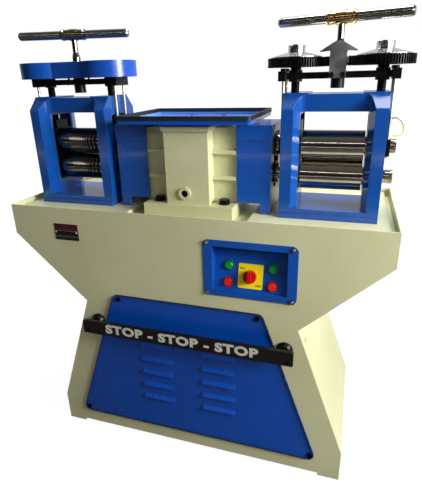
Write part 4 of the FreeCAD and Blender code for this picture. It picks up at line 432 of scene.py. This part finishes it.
mirror_roll = bright_metal("ground_hard_chrome", "#CFC9BF", "#B8B0A4", 0.07, (900.0, 6.0, 6.0), 0.03,
                           "#8C7E68", 0.35)
wire_roll = bright_metal("turned_oiled_roll_steel", "#8E8880", "#6E6860", 0.1, (1200.0, 8.0, 8.0), 0.02,
                         "#3A342C", 0.4)
dress(mirror_roll, "right_lower_roll", "right_upper_roll")
dress(wire_roll, "left_lower_roll", "left_upper_roll")

# A brass thrust collar on the upper wire roll's neck
brass = bright_metal("turned_brass", "#C9A45A", "#A8843E", 0.22, (300.0, 20.0, 20.0), 0.05, "#5A4420", 0.4)
upper_roll_z = sum(corner.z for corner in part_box("left_upper_roll")) / 2
collar = bmesh.new()
turned(collar, [(COLLAR_BORE, 0.0), (COLLAR_RADIUS - COLLAR_CHAMFER, 0.0), (COLLAR_RADIUS, COLLAR_CHAMFER),
                (COLLAR_RADIUS, COLLAR_WIDE - COLLAR_CHAMFER), (COLLAR_RADIUS - COLLAR_CHAMFER, COLLAR_WIDE),
                (COLLAR_BORE, COLLAR_WIDE), (COLLAR_BORE, 0.0)], (COLLAR_X, ROLL_Y, upper_roll_z), (1, 0, 0), 48)
piece("thrust_collar", collar, "left_upper_roll", brass)

# ---------------------------------------------------------------------------------------------------
# Oil line
# A clear tube filled with yellow oil loops from a nipple on the flat mill's outboard post down to the upper chock.
# The chock goes up and down with the head; the tube is one fixed piece here and doesn't bend with it.
# ---------------------------------------------------------------------------------------------------

TUBE_RADIUS = 0.0016
NIPPLE = (0.4772, 0.014, 0.974)
ROUTE = [NIPPLE, (0.487, 0.008, 0.982), (0.500, -0.002, 0.990), (0.517, -0.012, 0.975),
         (0.519, -0.020, 0.953), (0.507, -0.026, 0.9475), (0.4935, -0.030, 0.9485)]

oil_tube, tree, shader, place = surface("oil_filled_clear_tube", Roughness=0.15, IOR=1.45, Transmission_Weight=0.3)
connect(tree, shader, mix(tree, noise(tree, place, 60.0), "#D6EE6A", "#C2DC50"))
line = bpy.data.curves.new("oil_line", "CURVE")
line.dimensions, line.bevel_depth, line.bevel_resolution, line.use_fill_caps = "3D", TUBE_RADIUS, 3, True
run = line.splines.new("NURBS")
run.points.add(len(ROUTE) - 1)
for point, spot in zip(run.points, ROUTE):
    point.co = (*spot, 1.0)
run.order_u, run.use_endpoint_u, run.resolution_u = 3, True, 10
curve = bpy.data.objects.new("oil_line_curve", line)
bpy.context.scene.collection.objects.link(curve)
bpy.context.view_layer.update()
tube = bmesh.new()
tube.from_mesh(bpy.data.meshes.new_from_object(curve))
bpy.data.objects.remove(curve)
turned(tube, [(0, 0), (0.0034, 0), (0.0034, 0.0025), (0.0024, 0.0045), (0, 0.0045)], NIPPLE, (1, 0, 0.4), 12)
oil_line = piece("oil_line", tube, None, oil_tube)
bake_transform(oil_line)

# ---------------------------------------------------------------------------------------------------
# Screw-down heads
# Black bridges carry the screws. Each screw has a dark hobbed gear; the flat mill's gears are open,
# with bright raised dials and castle nuts above, and a cast aluminium bracket over their pinion.
# ---------------------------------------------------------------------------------------------------

MILL_X, SCREW_X = 0.358, 0.100          # a mill's middle from the machine's, and a screw from its mill's
ROD_X, ROD_TOP = 0.118, 1.0755          # beyond and below these a bridge's node is its lifting rods
DIAL_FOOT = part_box("left_outer_gear")[1].z + 0.0006
DIAL_MARKS, MARK_SHARE, MARKS_FROM = 50, 0.16, 0.052   # number, width in a division, inner radius
NUT_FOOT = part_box("left_outer_screw")[1].z + 0.0005
BRACKET_SCREW_X, BRACKET_SCREW_Z = 0.0125, 1.088

# The bridges are black; the rods that hang from their ends are ground bright
bridge_metal = black_metal("black_bridge_and_ground_rods")
tree = bridge_metal.node_tree
shader = tree.nodes["Principled BSDF"]
spots = add(tree, "SeparateXYZ", {"Vector": add(tree, "TexCoord").outputs["Object"]}).outputs
from_mill = calc(tree, "ABSOLUTE", calc(tree, "SUBTRACT", calc(tree, "ABSOLUTE", spots["X"]), MILL_X))
outside = calc(tree, "GREATER_THAN", from_mill, ROD_X)
rods = calc(tree, "MULTIPLY", calc(tree, "LESS_THAN", spots["Z"], ROD_TOP), outside)
connect(tree, shader, mix(tree, rods, shader.inputs["Base Color"].links[0].from_socket, "#CFC6AE"))
tree.links.new(remap(tree, rods, 0.0, 1.0, 0.55, 1.0), shader.inputs["Metallic"])
dress(bridge_metal, "right_bridge", "left_bridge")


def from_axis(tree, place, centre_x):
    """A place seen from an upright axis above the rolls: its coordinates, and its distance squared."""
    moved = add(tree, "Mapping", {"Vector": place}, {"Location": (-centre_x, -ROLL_Y, 0.0)}).outputs["Vector"]
    spots = add(tree, "SeparateXYZ", {"Vector": moved}).outputs
    return spots, calc(tree, "MULTIPLY_ADD", spots["Y"], spots["Y"], calc(tree, "MULTIPLY", spots["X"], spots["X"]))


def gear_and_dial(name, centre_x):
    """Dark gear steel below; above it the satin dial, with black graduations towards its rim."""
    material, tree, shader, place = surface(name, Metallic=1.0)
    plate = zone(tree, place, "Z", "GREATER_THAN", DIAL_FOOT)
    spots, distance = from_axis(tree, place, centre_x)
    steps = calc(tree, "MULTIPLY", calc(tree, "ARCTAN2", spots["Y"], spots["X"]), DIAL_MARKS / math.tau)
    mark = calc(tree, "LESS_THAN", calc(tree, "FRACT", steps), MARK_SHARE)
    outer = calc(tree, "GREATER_THAN", distance, MARKS_FROM ** 2)
    satin = mix(tree, calc(tree, "MULTIPLY", mark, outer), "#DEDEDC", "#26262A")
    grease = noise(tree, place, 60.0, 4.0)
    hobbed = mix(tree, grease, "#17161A", "#38342F")
    connect(tree, shader, mix(tree, plate, hobbed, satin), remap(tree, plate, 0.0, 1.0, 0.38, 0.24),
            bumped(tree, grease, 0.1, 0.0006))
    return material


dress(gear_and_dial("gear_steel_and_satin_dial_outer", MILL_X + SCREW_X), "right_outer_gear")
dress(gear_and_dial("gear_steel_and_satin_dial_inner", MILL_X - SCREW_X), "right_inner_gear")
gear_steel = bright_metal("hobbed_gear_steel", "#2A282A", "#3B3733", 0.35, (300.0, 300.0, 20.0), 0.15,
                          "#15130F", 0.5)
dress(gear_steel, "left_outer_gear", "left_inner_gear")

# Screws are blackened; the castle nuts above the dials are polished
screw_and_nut, tree, shader, place = surface("blackened_screw_and_polished_nut", Metallic=1.0)
nut = zone(tree, place, "Z", "GREATER_THAN", NUT_FOOT)
smear = noise(tree, place, 90.0, 4.0)
turns = add(tree, "TexWave", {"Vector": place}, {"Scale": 53.0}, wave_type="BANDS", bands_direction="Z")
thread = calc(tree, "MULTIPLY", turns.outputs["Fac"], calc(tree, "SUBTRACT", 1.0, nut))
connect(tree, shader, mix(tree, nut, "#1B1A1B", "#E2E2E2"), remap(tree, smear, 0.3, 0.7, 0.1, 0.3),
        bumped(tree, thread, 0.7, 0.0012))
dress(screw_and_nut, "right_outer_screw", "right_inner_screw", "left_outer_screw", "left_inner_screw")

bracket_metal = bright_metal("die_cast_aluminium", "#A9ABAA", "#8F9291", 0.36, (90.0, 90.0, 90.0), 0.3,
                             "#77756E", 0.4)
dress(bracket_metal, "right_pinion_bracket")
bracket_low, bracket_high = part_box("right_pinion_bracket")
bracket_middle = (bracket_low.x + bracket_high.x) / 2
bracket_screws = bmesh.new()
for x in (-BRACKET_SCREW_X, BRACKET_SCREW_X):
    socket_screw(bracket_screws, (bracket_middle + x, bracket_low.y + 0.0002, BRACKET_SCREW_Z),
                 radius=0.006, tall=0.006)
piece("bracket_screws", bracket_screws, "right_head", oxide)

# ---------------------------------------------------------------------------------------------------
# Handles
# Turned steel T-handles, chromed, with a hub where bar and stem cross. The flat mill's hub is polished with the
# rest and tinted warm copper, a painted reflection of something warm in the room; the wire mill's is bare steel.
# ---------------------------------------------------------------------------------------------------

HUB_REACH, HUB_FOOT = 0.0365, 1.1935    # a hub lies within this distance of its axis, above this height


def handle_metal(name, centre_x, hub):
    """Mirror chrome with soft smears, and the hub's own colour where the hub is; the flat mill's warm hub colour is
    a painted reflection.
    """
    material, tree, shader, place = surface(name, Metallic=1.0, Roughness=0.09)
    spots, distance = from_axis(tree, place, centre_x)
    near = calc(tree, "LESS_THAN", distance, HUB_REACH ** 2)
    in_hub = calc(tree, "MULTIPLY", near, calc(tree, "GREATER_THAN", spots["Z"], HUB_FOOT))
    smear = noise(tree, place, 50.0, 4.0)
    connect(tree, shader, mix(tree, in_hub, mix(tree, smear, "#B0ACA8", "#86827C"), hub),
            remap(tree, smear, 0.35, 0.7, 0.05, 0.17), bumped(tree, smear, 0.012, 0.001))
    return material


# The flat mill's warm copper hub colour is a painted reflection of something warm in the room.
dress(handle_metal("chrome_with_warm_painted_reflection_hub", MILL_X, "#DCB47C"), "right_handle")
dress(handle_metal("chrome_with_steel_hub", -MILL_X, "#8E8474"), "left_handle")

# ---------------------------------------------------------------------------------------------------
# Tray on the gearbox
# A shallow welded tray in blue enamel under clear lacquer, its floor painted pale blue, a painted reflection of the
# bright room behind. Black rubber edging is pressed over the rim.
# ---------------------------------------------------------------------------------------------------

WALL_SKIN, CORNER_SKIN = 0.001, 0.0058              # the tray's painted reflection stops this near its sides and its corners
RIM_OUT, RIM_TALL, RIM_DROP = 0.003, 0.0105, 0.005  # the edging past the tray, its height, its middle's drop
RIM_ROUND, RIM_THICK = 0.009, 0.006                 # its corner radius and its sheet

tray_low, tray_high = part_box("tool_tray")
tray_middle, tray_span = (tray_low + tray_high) / 2, tray_high - tray_low
# Its pale edges are partly wear and partly painted highlight.
tray_blue = enamel("gloss_blue_enamel_on_tray", "#0C52B6", "#0846A4", "#6E97E6", 0.1, 0.03)
tree = tray_blue.node_tree
shader = tree.nodes["Principled BSDF"]
shader.inputs["Coat Weight"].default_value = 0.5
place = add(tree, "TexCoord").outputs["Object"]
centred = add(tree, "VectorMath", {0: place}, {1: tray_middle}, operation="SUBTRACT").outputs["Vector"]
outward = add(tree, "VectorMath", {0: centred}, operation="ABSOLUTE").outputs["Vector"]
spots = add(tree, "SeparateXYZ", {"Vector": outward}).outputs
across = calc(tree, "LESS_THAN", spots["X"], tray_span.x / 2 - WALL_SKIN)
along = calc(tree, "LESS_THAN", spots["Y"], tray_span.y / 2 - WALL_SKIN)
cornered = calc(tree, "LESS_THAN", calc(tree, "ADD", spots["X"], spots["Y"]),
                (tray_span.x + tray_span.y) / 2 - CORNER_SKIN)
# The tray's floor is painted pale blue inside its sides: a painted reflection of the bright room behind.
wear_and_painted_reflection = calc(tree, "MULTIPLY", calc(tree, "MULTIPLY", across, along), cornered)
connect(tree, shader, mix(tree, wear_and_painted_reflection, shader.inputs["Base Color"].links[0].from_socket, "#7FB0FF"))
dress(tray_blue, "tool_tray")

trim = bmesh.new()
bmesh.ops.create_cube(trim, size=1.0)
bmesh.ops.delete(trim, geom=[f for f in trim.faces if abs(f.normal.z) > 0.5], context="FACES_ONLY")
bmesh.ops.scale(trim, verts=trim.verts, vec=(tray_span.x + RIM_OUT, tray_span.y + RIM_OUT, RIM_TALL))
bmesh.ops.translate(trim, verts=trim.verts, vec=(tray_middle.x, tray_middle.y, tray_high.z - RIM_DROP))
bmesh.ops.bevel(trim, geom=[e for e in trim.edges if abs(e.verts[0].co.z - e.verts[1].co.z) > 0.001],
                offset=RIM_ROUND, segments=5, profile=0.5, affect="EDGES", material=-1)
bmesh.ops.recalc_face_normals(trim, faces=trim.faces)
bmesh.ops.solidify(trim, geom=trim.faces[:], thickness=RIM_THICK)
piece("tray_edging", trim, "machine", dark_rubber)

# ---------------------------------------------------------------------------------------------------
# Drive: guards, oil port plug, bolts, shafts, couplings, belts and motor
# Dark hexagon bolts hold everything down. Loose sleeve couplings, passivated to an olive gold, join
# shafts and rolls behind folded blue guards. Ribbed V-belts, iron pulleys and a cast motor sit below.
# ---------------------------------------------------------------------------------------------------

PLUG_RADIUS, PLUG_TALL, PLUG_SUNK = 0.0088, 0.004, 0.0055

# Its pale edges are partly wear and partly painted highlight lines along the guard's top.
guard_blue = enamel("gloss_blue_enamel_on_guard", "#0450B2", "#0346A2", "#7FA2E6", 0.24, 0.05, edge_wear_and_painted_light_share=0.3)
dress(guard_blue, "coupling_guards")
port_low, port_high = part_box("oil_level_port")
port_middle = (port_low + port_high) / 2
plug = bmesh.new()
turned(plug, [(0.0, 0.0), (PLUG_RADIUS, 0.0), (PLUG_RADIUS, PLUG_TALL), (0.0, PLUG_TALL)],
       (port_middle.x, port_low.y + PLUG_SUNK, port_middle.z), (0, -1, 0))
piece("oil_port_plug", plug, "machine", oxide)
bolt_dark = bright_metal("oiled_dark_bolt_steel", "#2A2725", "#1E1B19", 0.34, (120.0, 120.0, 500.0), 0.1,
                         "#1C1814", 0.6)
shaft_steel = bright_metal("turned_shaft_steel", "#6C6862", "#57534D", 0.28, (900.0, 8.0, 8.0), 0.1,
                           "#2B2620", 0.5)
olive_zinc = bright_metal("olive_passivated_zinc", "#8A7A3C", "#5F5526", 0.3, (500.0, 12.0, 12.0), 0.1,
                          "#2E2A18", 0.6)
bearing_steel = bright_metal("bearing_steel", "#C3C3C1", "#A5A5A3", 0.2, (400.0, 60.0, 60.0))
pulley_iron = bright_metal("machined_cast_iron", "#5C5C5E", "#47474A", 0.4, (200.0, 40.0, 40.0), 0.25)
dress(bolt_dark, "hold_down_bolts")
dress(shaft_steel, "lower_drive_shaft", "upper_drive_shaft", "intermediate_shaft", "input_shaft", "motor_rotor")
dress(olive_zinc, "lower_couplings", "upper_couplings")
dress(bearing_steel, "gearbox_bearings")
dress(pulley_iron, "input_pulley", "motor_pulley")
# The motor's pale edges are partly wear and partly painted highlight.
dress(enamel("grey_motor_enamel", "#6F7B86", "#606B75", "#9AA4AD", 0.4, 0.2, 60.0), "motor_housing")
dress(rubber_finish("belt_rubber", "#101012", 0.7), "drive_belts")

# ---------------------------------------------------------------------------------------------------
# Studio: pale floor, soft lights and camera
# A plain white floor and backdrop. The room is dark and brown in front and light behind, so that polished
# parts show dark bands. Two soft lights stand to the right, one hangs above, and two thin tubes lie in front.
# ---------------------------------------------------------------------------------------------------

FOCAL_PIXELS, PICTURE_TALL, SENSOR = 430.4, 482, 36
EYE = (0.4072, -1.1557, 1.0931)
HEADING, DIP, TILT = 18.465, 20.968, -1.704     # degrees: to the left, downwards, round the line of sight
RIGHT_HALF, MIDDLE, LEFT_HALF = (0.2, 0.0, 0.8), (0.0, 0.0, 0.8), (-0.2, 0.0, 0.8)   # what the lights aim at

floor_mesh = bmesh.new()
bmesh.ops.create_grid(floor_mesh, x_segments=8, y_segments=8, size=30.0)
floor_data = bpy.data.meshes.new("studio_floor")
floor_mesh.to_mesh(floor_data)
floor_mesh.free()
floor = bpy.data.objects.new("studio_floor", floor_data)
bpy.context.scene.collection.objects.link(floor)
# The floor glows. To the camera it is nearly white, a little dimmer near the machine; to every other ray its glow
# rises towards the back, a painted pool of light that lights the machine from behind.
floor_finish, tree, shader, place = surface("pale_floor_with_painted_glow", Roughness=0.8, Emission_Strength=1.0)
shader.inputs["Base Color"].default_value = linear("#4A4640")
level = add(tree, "VectorMath", {0: place}, {1: (1.0, 1.0, 0.0)}, operation="MULTIPLY").outputs["Vector"]
reach = add(tree, "VectorMath", {0: level}, operation="LENGTH").outputs["Value"]
rearward = add(tree, "SeparateXYZ", {"Vector": place}).outputs["Y"]
eye = add(tree, "LightPath").outputs["Is Camera Ray"]
shown = add(tree, "Mix", {"Factor": eye, "A": remap(tree, rearward, 0.2, 1.6, 0.02, 0.62),
                          "B": remap(tree, reach, 0.5, 1.8, 0.95, 1.0)}, data_type="FLOAT")
tree.links.new(shown.outputs["Result"], shader.inputs["Emission Color"])
floor_data.materials.append(floor_finish)

world = bpy.data.worlds.new("studio_light")
world.use_nodes = True
sky = world.node_tree
bpy.context.scene.world = world
axes = add(sky, "SeparateXYZ", {"Vector": add(sky, "TexCoord").outputs["Generated"]}).outputs
room = mix(sky, remap(sky, axes["Z"], 0.05, 0.9), "#221B16", "#68665E")
lit = mix(sky, remap(sky, axes["Y"], -0.1, 0.55), room, "#C4C8CE")
seen = mix(sky, add(sky, "LightPath").outputs["Is Camera Ray"], lit, "#FFFFFF")
sky.links.new(seen, sky.nodes["Background"].inputs["Color"])


def softbox(name, place, aim, wide, tall, power):
    """A soft white light of a size at a place, turned towards a point."""
    light = bpy.data.lights.new(name, "AREA")
    light.shape, light.size, light.size_y, light.energy = "RECTANGLE", wide, tall, power
    made = bpy.data.objects.new(name, light)
    made.location = place
    made.rotation_euler = (Vector(aim) - Vector(place)).to_track_quat("-Z", "Y").to_euler()
    bpy.context.scene.collection.objects.link(made)


softbox("key_light", (2.2, -0.7, 1.5), RIGHT_HALF, wide=0.9, tall=0.9, power=86.0)
softbox("near_light", (1.25, -1.0, 1.45), RIGHT_HALF, wide=0.6, tall=0.6, power=5.0)
softbox("top_light", (0.3, 0.4, 3.0), MIDDLE, wide=1.6, tall=1.2, power=56.0)
softbox("front_tube", (-0.4, -2.9, 2.2), LEFT_HALF, wide=5.4, tall=0.05, power=8.0)
softbox("low_tube", (-0.4, -2.6, 0.45), LEFT_HALF, wide=5.0, tall=0.025, power=2.0)

lens = bpy.data.cameras.new("viewer")
lens.lens = FOCAL_PIXELS * SENSOR / PICTURE_TALL
lens.clip_start, lens.clip_end = 0.05, 100.0
viewer = bpy.data.objects.new("viewer", lens)
viewer.matrix_world = (Matrix.Translation(EYE) @ Matrix.Rotation(math.radians(HEADING), 4, "Z")
                       @ Matrix.Rotation(math.radians(90 - DIP), 4, "X")
                       @ Matrix.Rotation(math.radians(TILT), 4, "Z"))
bpy.context.scene.collection.objects.link(viewer)
bpy.context.scene.camera = viewer
bpy.context.scene.view_settings.view_transform = "Standard"
